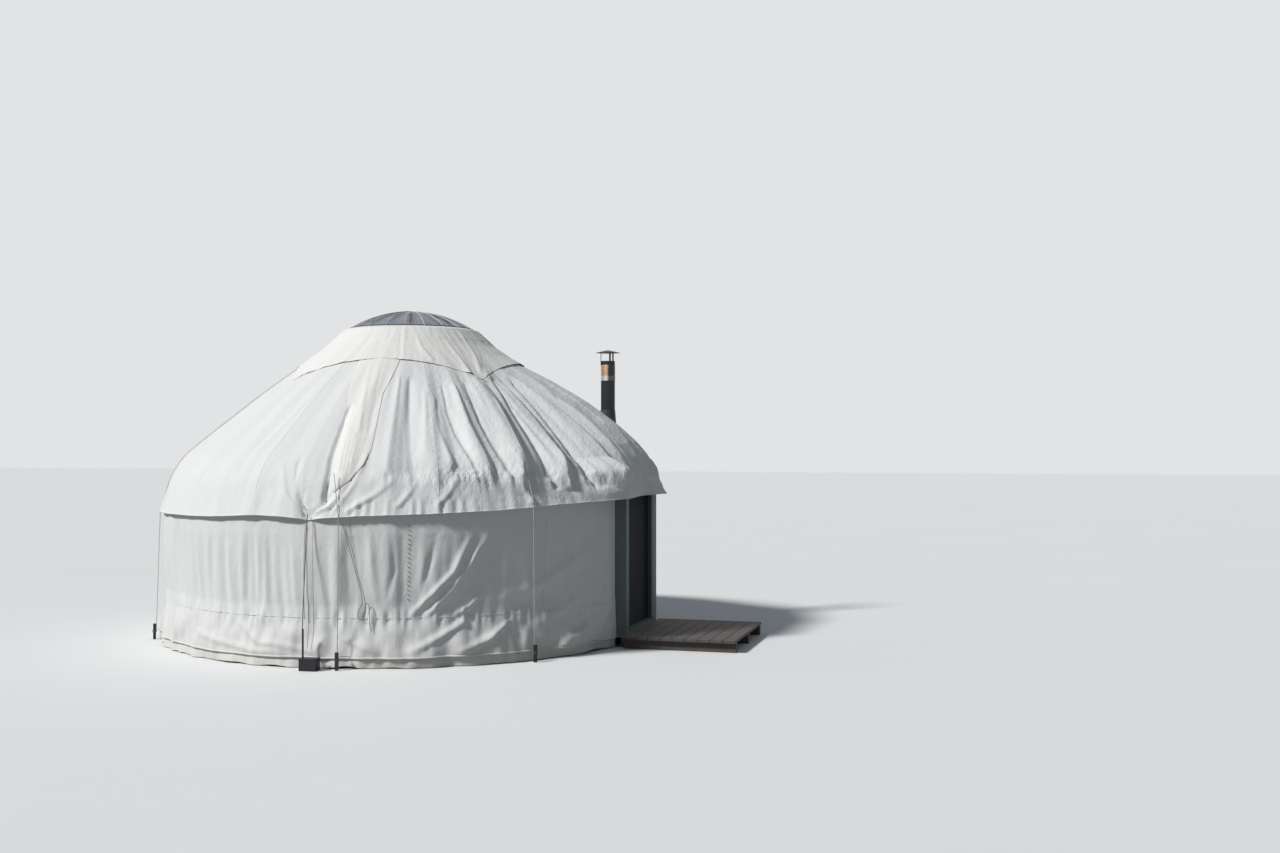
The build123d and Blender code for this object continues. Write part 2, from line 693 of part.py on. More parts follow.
save("floor_joists", floor_joists())
save("floor_deck", floor_deck())
save("doorstep_joists", doorstep_joists())
save("doorstep_boards", doorstep_boards())
for number, section in enumerate(lattice(), 1):
    save(f"lattice_{number}", section)
save("wall_band", wall_band())
save("door_jamb_left", door_jamb(-1))
save("door_jamb_right", door_jamb(1))
save("door_head", door_head())
save("door_sill", door_sill())
save("door_leaf", door_leaf())
save("hinge_frame", hinge_frame())
save("hinge_leaf", hinge_leaf())
save("door_pull", door_pull())
save("roof_poles", roof_poles())
save("crown_hoop", crown_hoop())
save("crown_ribs", crown_ribs())
save("crown_window", crown_window())
save("crown_cap", crown_cap())
for number, gore in enumerate(in_sectors(roof_canvas(), SECTIONS), 1):
    save(f"roof_canvas_{number}", gore)
for number, panel in enumerate(in_sectors(wall_canvas(), SECTIONS), 1):
    save(f"wall_canvas_{number}", panel)
save("roof_strip", roof_strip())
save("tie_ropes", tie_ropes())
save("rope_pegs", rope_pegs())
save("hem_tie", hem_tie())
save("tie_stakes", tie_stakes())
save("flue_pipe", flue_pipe())
save("flue_flashing", flue_flashing())
save("flue_band", flue_band())
save("flue_cowl", flue_cowl())
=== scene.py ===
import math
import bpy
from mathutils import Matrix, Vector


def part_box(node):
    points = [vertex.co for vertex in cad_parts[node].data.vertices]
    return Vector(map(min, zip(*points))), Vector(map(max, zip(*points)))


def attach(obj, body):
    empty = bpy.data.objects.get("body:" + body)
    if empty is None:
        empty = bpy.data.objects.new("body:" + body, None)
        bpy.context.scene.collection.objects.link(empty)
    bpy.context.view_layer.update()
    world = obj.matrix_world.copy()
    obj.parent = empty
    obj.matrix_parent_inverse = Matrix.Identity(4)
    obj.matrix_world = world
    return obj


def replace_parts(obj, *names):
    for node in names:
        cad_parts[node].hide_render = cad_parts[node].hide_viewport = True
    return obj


bl_info = {
    "name": "Canvas Yurt",
    "version": (1, 0, 0),
    "blender": (4, 5, 0),
    "location": "View3D > Sidebar > Yurt",
    "description": "Cloth, ropes, trims and finishes of a small canvas yurt",
    "category": "Object",
}

import bmesh
import bpy
import numpy as np
from mathutils import Matrix, Vector, noise
from mathutils.bvhtree import BVHTree

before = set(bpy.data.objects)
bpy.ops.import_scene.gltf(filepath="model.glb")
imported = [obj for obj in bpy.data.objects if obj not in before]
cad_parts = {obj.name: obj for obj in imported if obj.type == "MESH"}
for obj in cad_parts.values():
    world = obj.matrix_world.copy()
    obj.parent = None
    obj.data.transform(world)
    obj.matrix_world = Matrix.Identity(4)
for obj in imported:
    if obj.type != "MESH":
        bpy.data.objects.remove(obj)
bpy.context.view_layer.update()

# Metres. Angles round the plan start at the door and turn anticlockwise seen from above.
BAY = 10  # degrees between two poles
PITCH = math.radians(38.4)
SLOPE = math.tan(PITCH)
HOOP_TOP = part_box("crown_hoop")[1].z
SOCKET_R = 0.575
SOCKET_DROP = 0.046
BEND_R = 0.56
BEND_MID_R = 1.4923
BEND_MID_Z = 1.1324
EAVE_FLARE = math.radians(18)
EAVE_Z = 1.46
CRIMP_Z = 1.39
HEM_Z = 1.08
ROOF_EDGE_R = 0.594
SMOOTH_SIDE = -112
SWELL_MIDDLE = 12
FRAME_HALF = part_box("door_head")[1].x
FRAME_FRONT = -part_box("door_head")[0].y
CLOTH_OFF = 0.0065
FLUE_AT = (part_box("flue_pipe")[0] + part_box("flue_pipe")[1]) / 2
ROPE_ANGLES = [-150, -80, -40, 40, 80, 150]
ROPE_TOPS = [-147, -81.6, -35.5, 50, 80, 146]
FLAP_ROPE = -80
FLAP_FOOT_R = 2.033
PEG_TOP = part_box("rope_pegs")[1].z
PEG_R = 2.14
ROPE_R = 0.003
TWINE_R = 0.0018
WELD_PITCH = 18
WINDOW_R = 0.572
WINDOW_RISE = 0.184
BALL_R = (WINDOW_R ** 2 + WINDOW_RISE ** 2) / (2 * WINDOW_RISE)
BALL_Z = HOOP_TOP + WINDOW_RISE - BALL_R

# The wall cloth is shaped from a smooth drum that keeps OPENING degrees from the middle of the doorway.
# WAIST is the cloth's radius over a lattice head, by height.
DRUM_R = 2.05
OPENING = 13
WALL_TOP = 1.16
WALL_HEM_Z = 0.075
SKIRT_Z = 0.36
GROUND_Z = 0.004
WAIST = [(0, 2.069), (0.45, 2.024), (0.98, 2.0595), (WALL_TOP, 2.0595)]

# Radius of the cap's edge, by the angle from its nearest corner.
CAP_EDGE = [(0, 1.10), (4, 1.052), (9, 1.008), (15, 0.970), (22, 0.938), (30, 0.915), (45, 0.895)]

# Height of the roof hem round the plan, as (angle, height). It climbs to the door.
HEM_LINE = [(-180, 1.09), (-140, 1.085), (-112, 1.094), (-98, 1.118), (-91, 1.106), (-86.5, 1.094),
            (-76, 1.117), (-60, 1.134), (-47, 1.15), (-33, 1.178), (-20, 1.196), (-6, 1.214), (6, 1.216),
            (20, 1.198), (36, 1.166), (55, 1.126), (80, 1.1), (120, 1.088), (150, 1.096), (180, 1.09)]

# How far the roof cloth stands out all round, and over the door side, by height.
BILLOW = [(1.45, 0), (1.75, 0.03), (2.05, 0.05), (2.3, 0.03), (2.45, 0)]
SWELL = [(1.18, 0.15), (1.28, 0.158), (1.37, 0.163), (1.51, 0.172), (1.66, 0.215), (1.81, 0.225), (2, 0.2),
         (2.19, 0.13), (2.37, 0.02), (2.45, 0)]

# Soft folds that the ropes, the ties and the wind have set in the roof:
# points (angle, height) from top to foot, width at the top and at the foot, depth, outwards positive.
ROOF_FOLDS = [
    ([(-73.5, 2.2), (-74.5, 1.9), (-75, 1.55)], 0.025, 0.06, 0.01),
    ([(-66.5, 2.15), (-67, 1.8), (-67, 1.4)], 0.02, 0.05, -0.012),
    ([(-61, 2.05), (-62, 1.75), (-62.5, 1.46)], 0.016, 0.045, 0.014),
    ([(-57.5, 2), (-58.5, 1.75), (-58.5, 1.46)], 0.016, 0.04, -0.014),
    ([(-103, 1.95), (-105, 1.6), (-106, 1.25)], 0.03, 0.07, 0.009),
    ([(-126, 1.95), (-128, 1.6), (-128, 1.25)], 0.03, 0.07, -0.01),
    ([(-86.5, 1.15), (-86.5, 1.06)], 0.07, 0.05, -0.034),
]
# Sharp folds of the roof, listed the same way.
ROOF_CREASES = [
    ([(-37.4, 2.14), (-36.6, 1.93), (-37.8, 1.7), (-39.6, 1.53), (-41, 1.41)], 0.05, 0.15, 0.05),
    ([(-29.8, 2.17), (-31.6, 1.93), (-32.2, 1.7), (-33.4, 1.43)], 0.05, 0.14, -0.05),
    ([(-26, 2.1), (-25.6, 1.92), (-26.2, 1.74), (-27.4, 1.56), (-29, 1.42)], 0.05, 0.13, 0.05),
    ([(-21, 2.13), (-20.9, 1.93), (-21.6, 1.7), (-22.9, 1.4)], 0.05, 0.12, -0.05),
    ([(-17, 2.15), (-14.6, 1.9), (-14, 1.67), (-14.5, 1.42)], 0.05, 0.14, 0.046),
    ([(-10, 2.05), (-6, 1.8), (-3, 1.62), (0, 1.47)], 0.05, 0.12, -0.04),
    ([(-1, 1.84), (5, 1.62), (11, 1.41)], 0.03, 0.07, 0.034),
    ([(-44.6, 2.12), (-45.6, 1.83), (-44.9, 1.67), (-43.6, 1.44)], 0.03, 0.09, -0.03),
    ([(-49.5, 2.1), (-49.8, 1.8), (-48, 1.45)], 0.03, 0.09, 0.026),
    ([(-54.1, 2.11), (-54.6, 1.91), (-53.9, 1.75), (-52, 1.56), (-50.6, 1.36)], 0.02, 0.06, -0.026),
    ([(-58, 2), (-58.5, 1.75), (-56.5, 1.5)], 0.03, 0.08, 0.022),
    ([(-66.6, 2.15), (-66.2, 1.9), (-65.5, 1.45)], 0.03, 0.1, -0.018),
    ([(-70.3, 2.15), (-70.6, 1.9), (-70.8, 1.45)], 0.03, 0.1, 0.02),
    ([(-40.9, 1.42), (-40.6, 1.28), (-39.8, 1.14)], 0.05, 0.03, 0.026),
    ([(-29.4, 1.42), (-28.6, 1.29)], 0.05, 0.02, 0.024),
    ([(-85.2, 1.92), (-84.2, 1.62), (-83.4, 1.4), (-83.6, 1.23)], 0.03, 0.06, -0.044),
    ([(-91.5, 1.5), (-89.6, 1.27), (-87.2, 1.12)], 0.04, 0.02, -0.026),
    ([(-94.5, 1.46), (-92, 1.26), (-87.8, 1.12)], 0.06, 0.02, 0.018),
    ([(-88.2, 1.3), (-88.6, 1.21), (-87, 1.11)], 0.02, 0.018, -0.018),
    ([(-79.8, 1.25), (-82.6, 1.16), (-85.8, 1.11)], 0.04, 0.018, 0.028),
    ([(-81.8, 1.29), (-84, 1.19), (-86.2, 1.12)], 0.03, 0.016, -0.026),
    ([(-75.5, 1.55), (-77.5, 1.35), (-81, 1.14)], 0.03, 0.04, 0.02),
    ([(-77.4, 1.42), (-79.2, 1.3), (-82, 1.14)], 0.03, 0.03, -0.024),
    ([(-69.5, 1.37), (-73, 1.25), (-78, 1.13)], 0.05, 0.03, 0.022),
    ([(-64.5, 1.36), (-66, 1.26), (-68, 1.16)], 0.04, 0.03, 0.018),
    ([(-56, 1.38), (-57.5, 1.28), (-59.5, 1.18)], 0.04, 0.03, 0.02),
]
CAP_CREASES = [
    ([(-37, 2.6), (-35.5, 2.44), (-37, 2.2)], 0.03, 0.035, -0.014),
    ([(-42.5, 2.6), (-40.5, 2.4), (-39, 2.2)], 0.03, 0.03, 0.014),
    ([(-56, 2.6), (-50, 2.42), (-44, 2.26)], 0.04, 0.03, -0.01),
    ([(-25, 2.58), (-28, 2.4), (-33, 2.24)], 0.03, 0.03, 0.012),
    ([(-17, 2.56), (-22, 2.4), (-30, 2.27)], 0.03, 0.03, -0.012),
    ([(-63, 2.6), (-60, 2.45), (-55, 2.33)], 0.03, 0.03, 0.01),
    ([(-74, 2.6), (-73, 2.45), (-72, 2.33)], 0.02, 0.02, -0.01),
    ([(-108, 2.6), (-112, 2.42), (-118, 2.24)], 0.035, 0.035, 0.008),
    ([(-96, 2.58), (-97, 2.42), (-98, 2.3)], 0.03, 0.03, -0.008),
    ([(20, 2.6), (28, 2.4), (37, 2.22)], 0.035, 0.03, 0.012),
    ([(60, 2.6), (54, 2.4), (44, 2.22)], 0.035, 0.03, -0.01),
    ([(100, 2.6), (107, 2.4), (117, 2.22)], 0.035, 0.03, 0.012),
    ([(150, 2.6), (154, 2.4), (158, 2.22)], 0.035, 0.03, -0.01),
]
# Edges of the long flap, as (height, angle), and its folds.
FLAP_LEFT = [(1.29, -82), (1.42, -82.3), (1.62, -82.9), (1.92, -85.7), (2.31, -92.5)]
FLAP_RIGHT = [(1.29, -81.4), (1.32, -80.4), (1.38, -78.4), (1.49, -76), (1.6, -75), (1.74, -75),
              (2.04, -75.4), (2.31, -71.8)]
FLAP_CREASES = [
    ([(-84.2, 1.89), (-82.6, 1.67), (-81.9, 1.48)], 0.01, 0.01, -0.006),
    ([(-82.7, 1.8), (-81.6, 1.62), (-81, 1.46)], 0.012, 0.01, 0.006),
    ([(-81.2, 1.78), (-80, 1.58), (-80, 1.46)], 0.01, 0.01, -0.005),
    ([(-78.8, 1.66), (-78.6, 1.5)], 0.012, 0.01, 0.006),
    ([(-84.5, 2.28), (-81, 2), (-79, 1.75)], 0.03, 0.03, 0.007),
    ([(-79.5, 2.3), (-77.6, 2), (-76.8, 1.75)], 0.02, 0.03, -0.005),
]

# Folds of the wall: upright ones on the side away from the door, dragged ones beside it.
WALL_FOLDS = [
    ([(-140, 1.05), (-139, 0.7), (-137, 0.42)], 0.04, 0.04, 0.016),
    ([(-128, 1.05), (-127.5, 0.7), (-127, 0.42)], 0.035, 0.045, -0.012),
    ([(-119, 1.05), (-118.5, 0.7), (-118, 0.42)], 0.03, 0.04, 0.014),
    ([(-107, 1.05), (-107, 0.7), (-106.5, 0.4)], 0.03, 0.028, 0.018),
    ([(-112, 1.05), (-113, 0.7), (-114, 0.42)], 0.03, 0.045, -0.011),
    ([(-101.5, 1.05), (-101.8, 0.7), (-102.4, 0.42)], 0.02, 0.024, -0.01),
    ([(-96.8, 1.07), (-96.9, 0.7), (-97.2, 0.38)], 0.016, 0.02, 0.008),
    ([(-99, 1.05), (-99, 0.7), (-99.4, 0.42)], 0.022, 0.024, 0.015),
    ([(-94, 1.02), (-94, 0.7), (-93, 0.45)], 0.035, 0.035, -0.012),
    ([(-90.5, 1.04), (-90.2, 0.75), (-90, 0.45)], 0.02, 0.022, 0.012),
    ([(-79, 1.05), (-78, 0.7), (-76.5, 0.42)], 0.025, 0.035, -0.012),
    ([(-74, 1.04), (-73.5, 0.75), (-72.8, 0.42)], 0.022, 0.03, 0.014),
    ([(-69.5, 1), (-69, 0.72), (-70.5, 0.5)], 0.016, 0.022, -0.012),
    ([(-60, 1.04), (-61.5, 0.8), (-64.5, 0.44)], 0.02, 0.022, -0.012),
    ([(-53.1, 0.97), (-57, 0.69), (-66.1, 0.37)], 0.024, 0.016, 0.026),
    ([(-51.6, 0.97), (-56, 0.62), (-64, 0.37)], 0.018, 0.014, -0.012),
    ([(-49.6, 0.97), (-54, 0.72), (-57.5, 0.56), (-62.5, 0.38)], 0.026, 0.018, 0.03),
    ([(-47, 0.92), (-51.5, 0.66), (-58, 0.4)], 0.035, 0.018, -0.012),
    ([(-50.4, 0.53), (-53.5, 0.44), (-57, 0.37)], 0.014, 0.012, 0.022),
    ([(-16, 1.05), (-24, 0.8), (-36, 0.58), (-52, 0.44)], 0.022, 0.05, 0.02),
    ([(-15, 0.92), (-22, 0.7), (-34, 0.48), (-46, 0.38)], 0.022, 0.045, -0.012),
    ([(-14.6, 0.8), (-20, 0.58), (-30, 0.38), (-40, 0.26)], 0.02, 0.045, 0.02),
    ([(-14.4, 0.62), (-18, 0.42), (-24, 0.26), (-32, 0.14)], 0.02, 0.04, -0.012),
    ([(-14.6, 0.5), (-16.5, 0.32), (-20, 0.15)], 0.018, 0.035, 0.018),
    ([(-54, 0.34), (-60, 0.22), (-66.5, 0.12)], 0.016, 0.028, 0.024),
    ([(-44.5, 0.32), (-49, 0.2), (-56.5, 0.1)], 0.016, 0.028, 0.028),
    ([(-24.5, 0.21), (-28.5, 0.13), (-35, 0.07)], 0.028, 0.045, 0.06),
    ([(-104, 0.3), (-98, 0.17), (-86, 0.13)], 0.02, 0.022, 0.02),
    ([(-118, 0.2), (-104, 0.12), (-90, 0.1)], 0.018, 0.022, 0.018),
    ([(-93.5, 0.44), (-93, 0.36), (-91.5, 0.28)], 0.022, 0.026, -0.012),
    ([(-82, 0.33), (-79, 0.2), (-72, 0.12)], 0.02, 0.026, 0.018),
    ([(20, 1), (30, 0.74), (45, 0.46)], 0.025, 0.04, 0.02),
    ([(60, 1.04), (61, 0.75), (63, 0.44)], 0.03, 0.04, -0.012),
    ([(84, 1.04), (83, 0.75), (82, 0.44)], 0.03, 0.04, 0.016),
    ([(112, 1.04), (113, 0.75), (115, 0.44)], 0.03, 0.04, 0.016),
    ([(143, 1.04), (142, 0.75), (140, 0.44)], 0.03, 0.04, -0.012),
    ([(165, 1.04), (166, 0.75), (168, 0.44)], 0.03, 0.04, 0.016),
]


# Plan and outlines

def on_plan(radius, angle, z=0.0):
    """A point at a radius and an angle from the door."""
    turn = math.radians(angle)
    return Vector((radius * math.sin(turn), -radius * math.cos(turn), z))


def plan_points(radius, angle, height):
    """An array of points at radii, at angles from the door and at heights."""
    turn = np.radians(angle)
    return np.stack((radius * np.sin(turn), -radius * np.cos(turn), height), axis=1)


def polar(points):
    """Angle from the door in degrees, and radius, of an array of points."""
    return np.degrees(np.arctan2(points[:, 0], -points[:, 1])), np.hypot(points[:, 0], points[:, 1])


def between(value, low, high):
    """How far value is from low to high, eased, from 0 to 1."""
    share = np.clip((value - low) / (high - low), 0, 1)
    return share * share * (3 - 2 * share)


def at(place, table):
    """The value at a place in a table of (place, value)."""
    return np.interp(place, *zip(*table))


def run_along(line):
    """How far each point of a line of (radius, height) lies along it."""
    return np.concatenate(([0], np.cumsum(np.hypot(*np.diff(line, axis=0).T))))


def walk(line, places):
    """The values of a line's points at places along it, one array for each column."""
    run = run_along(line[:, :2])
    return [np.interp(places, run, column) for column in line.T]


def off_line(angle, pitch):
    """Degrees from the nearest of the lines that stand a pitch apart round the plan."""
    return np.abs((angle + pitch / 2) % pitch - pitch / 2)


def facet(angle):
    """Radius of a flat side between two poles, as a share of the poles' own."""
    return math.cos(math.radians(BAY / 2)) / np.cos(np.radians(BAY / 2 - off_line(angle, BAY)))


def cone_height(radius):
    """Height of the cloth over the straight part of the poles."""
    return HOOP_TOP - SOCKET_DROP + SLOPE * SOCKET_R - SLOPE * radius + CLOTH_OFF / math.cos(PITCH)


def dome_height(radius):
    """Height of the domed window."""
    return BALL_Z + math.sqrt(BALL_R ** 2 - radius ** 2)


def roof_outline(top_r):
    """Corners of the roof's outline over a pole, as (radius, height) from a radius down to the hem."""
    points = [(top_r, cone_height(top_r))]
    reach = BEND_R + CLOTH_OFF
    for step in range(9):
        turn = math.pi / 2 - PITCH + (EAVE_FLARE - math.pi / 2 + PITCH) * step / 8
        points.append((BEND_MID_R + reach * math.cos(turn), BEND_MID_Z + reach * math.sin(turn)))
    end_r, end_z = points[-1]
    points.append((end_r + (end_z - HEM_Z) * math.tan(EAVE_FLARE), HEM_Z))
    return points


def roof_slant(height):
    """Angle of the outward normal above level at a height of the roof."""
    turn = np.arcsin(np.clip((height - BEND_MID_Z) / (BEND_R + CLOTH_OFF), 0, 1))
    return np.clip(turn, EAVE_FLARE, math.pi / 2 - PITCH)


# Meshes

def read_points(bm):
    """The vertices of a bmesh as an array."""
    return np.array([v.co for v in bm.verts], float).reshape(-1, 3)


def write_points(bm, points):
    """Moves the vertices of a bmesh to an array of points."""
    for vertex, point in zip(bm.verts, points):
        vertex.co = point


def grid_mesh(across, along, width, length):
    """A grid from 0 to 1 both ways, with a UV in metres of the flat cloth."""
    bm = bmesh.new()
    bmesh.ops.create_grid(bm, x_segments=across, y_segments=along, size=0.5)
    bmesh.ops.translate(bm, vec=(0.5, 0.5, 0), verts=bm.verts)
    layer = bm.loops.layers.uv.new("UVMap")
    for face in bm.faces:
        for loop in face.loops:
            loop[layer].uv = (loop.vert.co.x * width, loop.vert.co.y * length)
    return bm


def turned_mesh(outline, along, around, start=-180.0, angle=360.0, crowd=1.0):
    """An even mesh turned round the plan from an outline of (radius, height).

    Rows crowd towards the outline's end where crowd is under 1. A full turn is closed at its seam.
    """
    line = np.array(outline, float)
    length = run_along(line)[-1]
    bm = grid_mesh(around, along, math.radians(angle) * line[:, 0].mean(), length)
    grid = read_points(bm)
    radius, height = walk(line, np.clip(grid[:, 1], 0, 1) ** crowd * length)
    write_points(bm, plan_points(radius, start + grid[:, 0] * angle, height))
    bmesh.ops.remove_doubles(bm, verts=bm.verts, dist=1e-5)
    return bm


def outwards(bm):
    """Points every face away from the middle of the yurt."""
    bmesh.ops.recalc_face_normals(bm, faces=bm.faces)
    middle = Vector((0, 0, 0.9))
    facing = sum(face.normal.dot(face.calc_center_median() - middle) * face.calc_area() for face in bm.faces)
    if facing < 0:
        bmesh.ops.reverse_faces(bm, faces=bm.faces)


def new_object(name, data):
    """An object of a mesh or a curve that rides on the yurt."""
    made = bpy.data.objects.new(name, data)
    bpy.context.scene.collection.objects.link(made)
    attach(made, "yurt")
    return made


def piece(name, bm, coat, smooth=True):
    """Makes a bmesh a piece with one of the materials."""
    mesh = bpy.data.meshes.new(name)
    bm.to_mesh(mesh)
    bm.free()
    for polygon in mesh.polygons:
        polygon.use_smooth = smooth
    mesh.materials.append(MATERIALS[coat])
    return new_object(name, mesh)


def shaped(name, bm, points, coat):
    """Moves a bmesh to its points, turns its faces outwards and makes it a piece."""
    write_points(bm, points)
    outwards(bm)
    return piece(name, bm, coat)


def cord_curve(name, routes, radius, sides, steps):
    """A curve of round cords along smooth routes."""
    curve = bpy.data.curves.new(name, "CURVE")
    curve.dimensions = "3D"
    curve.bevel_depth = radius
    curve.bevel_resolution = sides // 2 - 2
    curve.use_fill_caps = True
    curve.resolution_u = steps
    for route in routes:
        spline = curve.splines.new("NURBS")
        spline.points.add(len(route) - 1)
        for point, place in zip(spline.points, route):
            point.co = (*place, 1)
        spline.order_u = 3
        spline.use_endpoint_u = True
    return curve


def tube(name, routes, radius, coat, sides=6):
    """Round cords along smooth routes, as one mesh whose UV follows each cord."""
    line = bpy.data.objects.new(name + "_line", cord_curve(name + "_line", routes, radius, sides, 6))
    bpy.context.scene.collection.objects.link(line)
    mesh = bpy.data.meshes.new_from_object(line.evaluated_get(bpy.context.evaluated_depsgraph_get()))
    bpy.data.objects.remove(line)
    bm = bmesh.new()
    bm.from_mesh(mesh)
    bpy.data.meshes.remove(mesh)
    bmesh.ops.remove_doubles(bm, verts=bm.verts, dist=1e-6)
    bmesh.ops.recalc_face_normals(bm, faces=bm.faces)
    return piece(name, bm, coat)


def fold_field(angle, height, radius, folds, crisp=False):
    """How far each point stands out because of the folds listed.

    Crisp ones grow towards their foot and are steeper on one side: the one towards growing angles
    where they stand out, and the other where they sink in.
    """
    out = np.zeros(len(angle))
    metres = math.radians(1) * radius
    for line, top_w, foot_w, depth in folds:
        best = np.full(len(angle), 1e9)
        along = np.zeros(len(angle))
        aside = np.zeros(len(angle))
        for i, (start, end) in enumerate(zip(line, line[1:])):
            run_x = (end[0] - start[0]) * metres
            run_z = end[1] - start[1]
            px = ((angle - start[0] + 180) % 360 - 180) * metres
            pz = height - start[1]
            share = np.clip((px * run_x + pz * run_z) / (run_x ** 2 + run_z ** 2), 0, 1)
            gap = np.hypot(px - share * run_x, pz - share * run_z)
            nearer = gap < best
            best = np.where(nearer, gap, best)
            along = np.where(nearer, (i + share) / (len(line) - 1), along)
            aside = np.where(nearer, px - share * run_x, aside)
        width = top_w + (foot_w - top_w) * along
        if crisp:
            width = width * np.where(aside * depth > 0, 0.45, 1.35)
            out += depth * (0.4 + 0.6 * along) * np.maximum(0, 1 - best / width)
        else:
            fade = np.sin(np.pi * np.clip(along * 0.92 + 0.06, 0, 1)) ** 0.6
            out += depth * fade * np.exp(-(best / width) ** 2)
    return out


def ripple(angle, height, across, along, seed):
    """Soft noise round the plan: across is its waves a radian, along its waves a metre of height."""
    turn = np.radians(angle)
    spots = np.stack((np.sin(turn) * across, np.cos(turn) * across, height * along + seed * 7.3), axis=1)
    return np.array([noise.noise(Vector(spot)) for spot in spots])


# Shader nodes

def feed(socket, value):
    """Links a value to an input, or sets the input to a number, a vector or a colour."""
    if isinstance(value, bpy.types.NodeSocket):
        socket.id_data.links.new(value, socket)
    elif isinstance(value, (int, float)):
        socket.default_value = value
    else:
        socket.default_value = (*value, 1)[:len(socket.default_value)]


def new_node(tree, kind, **values):
    """A shader node whose inputs are fed by name. Gives its outputs."""
    node = tree.nodes.new("ShaderNode" + kind)
    for label, value in values.items():
        feed(node.inputs[label], value)
    return node.outputs


def math_node(operation, first, second=0.0):
    """A Math node on two values, one of them an output of a node. Gives its output."""
    tree = (first if isinstance(first, bpy.types.NodeSocket) else second).id_data
    node = tree.nodes.new("ShaderNodeMath")
    node.operation = operation
    feed(node.inputs[0], first)
    feed(node.inputs[1], second)
    return node.outputs[0]


def plus(first, second):
    """The sum of two values."""
    return math_node("ADD", first, second)


def minus(first, second):
    """The first value less the second."""
    return math_node("SUBTRACT", first, second)


def times(first, second):
    """The product of two values."""
    return math_node("MULTIPLY", first, second)


def part(vector, axis):
    """One of the three parts of a vector."""
    return new_node(vector.id_data, "SeparateXYZ", Vector=vector)[axis]


def noise_node(vector, scale, detail=3.0, roughness=0.5):
    """A Noise Texture node. Gives its value output."""
    tree = vector.id_data
    return new_node(tree, "TexNoise", Vector=vector, Scale=scale, Detail=detail, Roughness=roughness)["Fac"]


def stretched(vector, scale):
    """A vector scaled along each axis."""
    return new_node(vector.id_data, "Mapping", Vector=vector, Scale=scale)[0]


def mix_node(factor, first, second):
    """A colour Mix node on two colours, by a factor that is an output of a node."""
    node = factor.id_data.nodes.new("ShaderNodeMix")
    node.data_type = "RGBA"
    for index, value in ((0, factor), (6, first), (7, second)):
        feed(node.inputs[index], value)
    return node.outputs[2]


def shade(colour, share):
    """A darker or brighter shade of a colour."""
    return tuple(min(1, c * share) for c in colour)


def seen_directly(tree):
    """Is 1 for rays by which the camera, metal or glass sees a thing, and 0 for the light it gives."""
    path = new_node(tree, "LightPath")
    seen = math_node("MAXIMUM", path["Is Camera Ray"], path["Is Glossy Ray"])
    return math_node("MAXIMUM", seen, path["Is Transmission Ray"])


GROUPS = {}


def new_group(name, inputs, outputs):
    """An empty shared group of float outputs. Gives what comes in and what goes out."""
    group = GROUPS[name] = bpy.data.node_groups.new(name, "ShaderNodeTree")
    for label, value in inputs.items():
        kind = "NodeSocketFloat" if isinstance(value, float) else "NodeSocketVector"
        group.interface.new_socket(name=label, in_out="INPUT", socket_type=kind).default_value = value
    for label in outputs:
        group.interface.new_socket(name=label, in_out="OUTPUT", socket_type="NodeSocketFloat")
    return group.nodes.new("NodeGroupInput").outputs, group.nodes.new("NodeGroupOutput").inputs


def use_group(name, **values):
    """Places one of the shared groups in a material with its own values. Gives its outputs."""
    node = values["Place"].id_data.nodes.new("ShaderNodeGroup")
    node.node_tree = GROUPS[name]
    for label, value in values.items():
        feed(node.inputs[label], value)
    return node.outputs


def cloth_group():
    """Plain weave, creases and soiling of canvas."""
    inputs = {"Place": (0, 0, 0), "Solid": (0, 0, 0), "Threads": 900.0, "Crease": 1.0}
    given, result = new_group("cloth", inputs, ("Height", "Soil", "Thread"))
    place, solid = given["Place"], given["Solid"]
    warp, weft = (math_node("SINE", times(part(place, axis), given["Threads"])) for axis in (0, 1))
    thread = times(warp, weft)
    slub = noise_node(stretched(place, (40, 600, 1)), 1.0, 2)
    fine = noise_node(stretched(solid, (1, 1, 0.6)), 13.0, 3, 0.55)
    broad = noise_node(stretched(solid, (1, 1, 0.4)), 8.0, 3, 0.55)
    folded = times(math_node("ABSOLUTE", minus(fine, 0.5)), 1.5)
    creases = times(plus(folded, times(broad, 0.8)), given["Crease"])
    weave = plus(times(thread, 0.012), times(slub, 0.02))
    cloud = noise_node(solid, 1.7, 5, 0.6)
    spots = noise_node(solid, 11.0, 4, 0.7)
    feed(result["Height"], plus(creases, weave))
    feed(result["Soil"], times(plus(cloud, times(spots, 0.5)), 0.66))
    feed(result["Thread"], plus(times(thread, 0.5), 0.5))


def grain_group():
    """Grain of sawn or worn wood that runs along X of the place given."""
    given, result = new_group("grain", {"Place": (0, 0, 0), "Scale": 1.0}, ("Grain", "Tone", "Height"))
    place, scale = given["Place"], given["Scale"]
    lines = noise_node(stretched(place, (3, 90, 90)), scale, 5, 0.65)
    rings = noise_node(stretched(place, (0.8, 14, 14)), scale, 2, 0.4)
    feed(result["Grain"], plus(times(lines, 0.6), times(rings, 0.4)))
    feed(result["Tone"], noise_node(stretched(place, (0.6, 4, 4)), scale, 3, 0.5))
    feed(result["Height"], lines)


def wear_group():
    """Dust and scuffs as a mask from 0 to 1."""
    given, result = new_group("wear", {"Place": (0, 0, 0), "Size": 9.0, "Amount": 0.5}, ("Mask",))
    cloud = noise_node(given["Place"], given["Size"], 6, 0.7)
    over = times(minus(cloud, minus(0.85, times(given["Amount"], 0.5))), 5.0)
    feed(result["Mask"], new_node(over.id_data, "Clamp", Value=over)[0])


# Materials

MATERIALS = {}


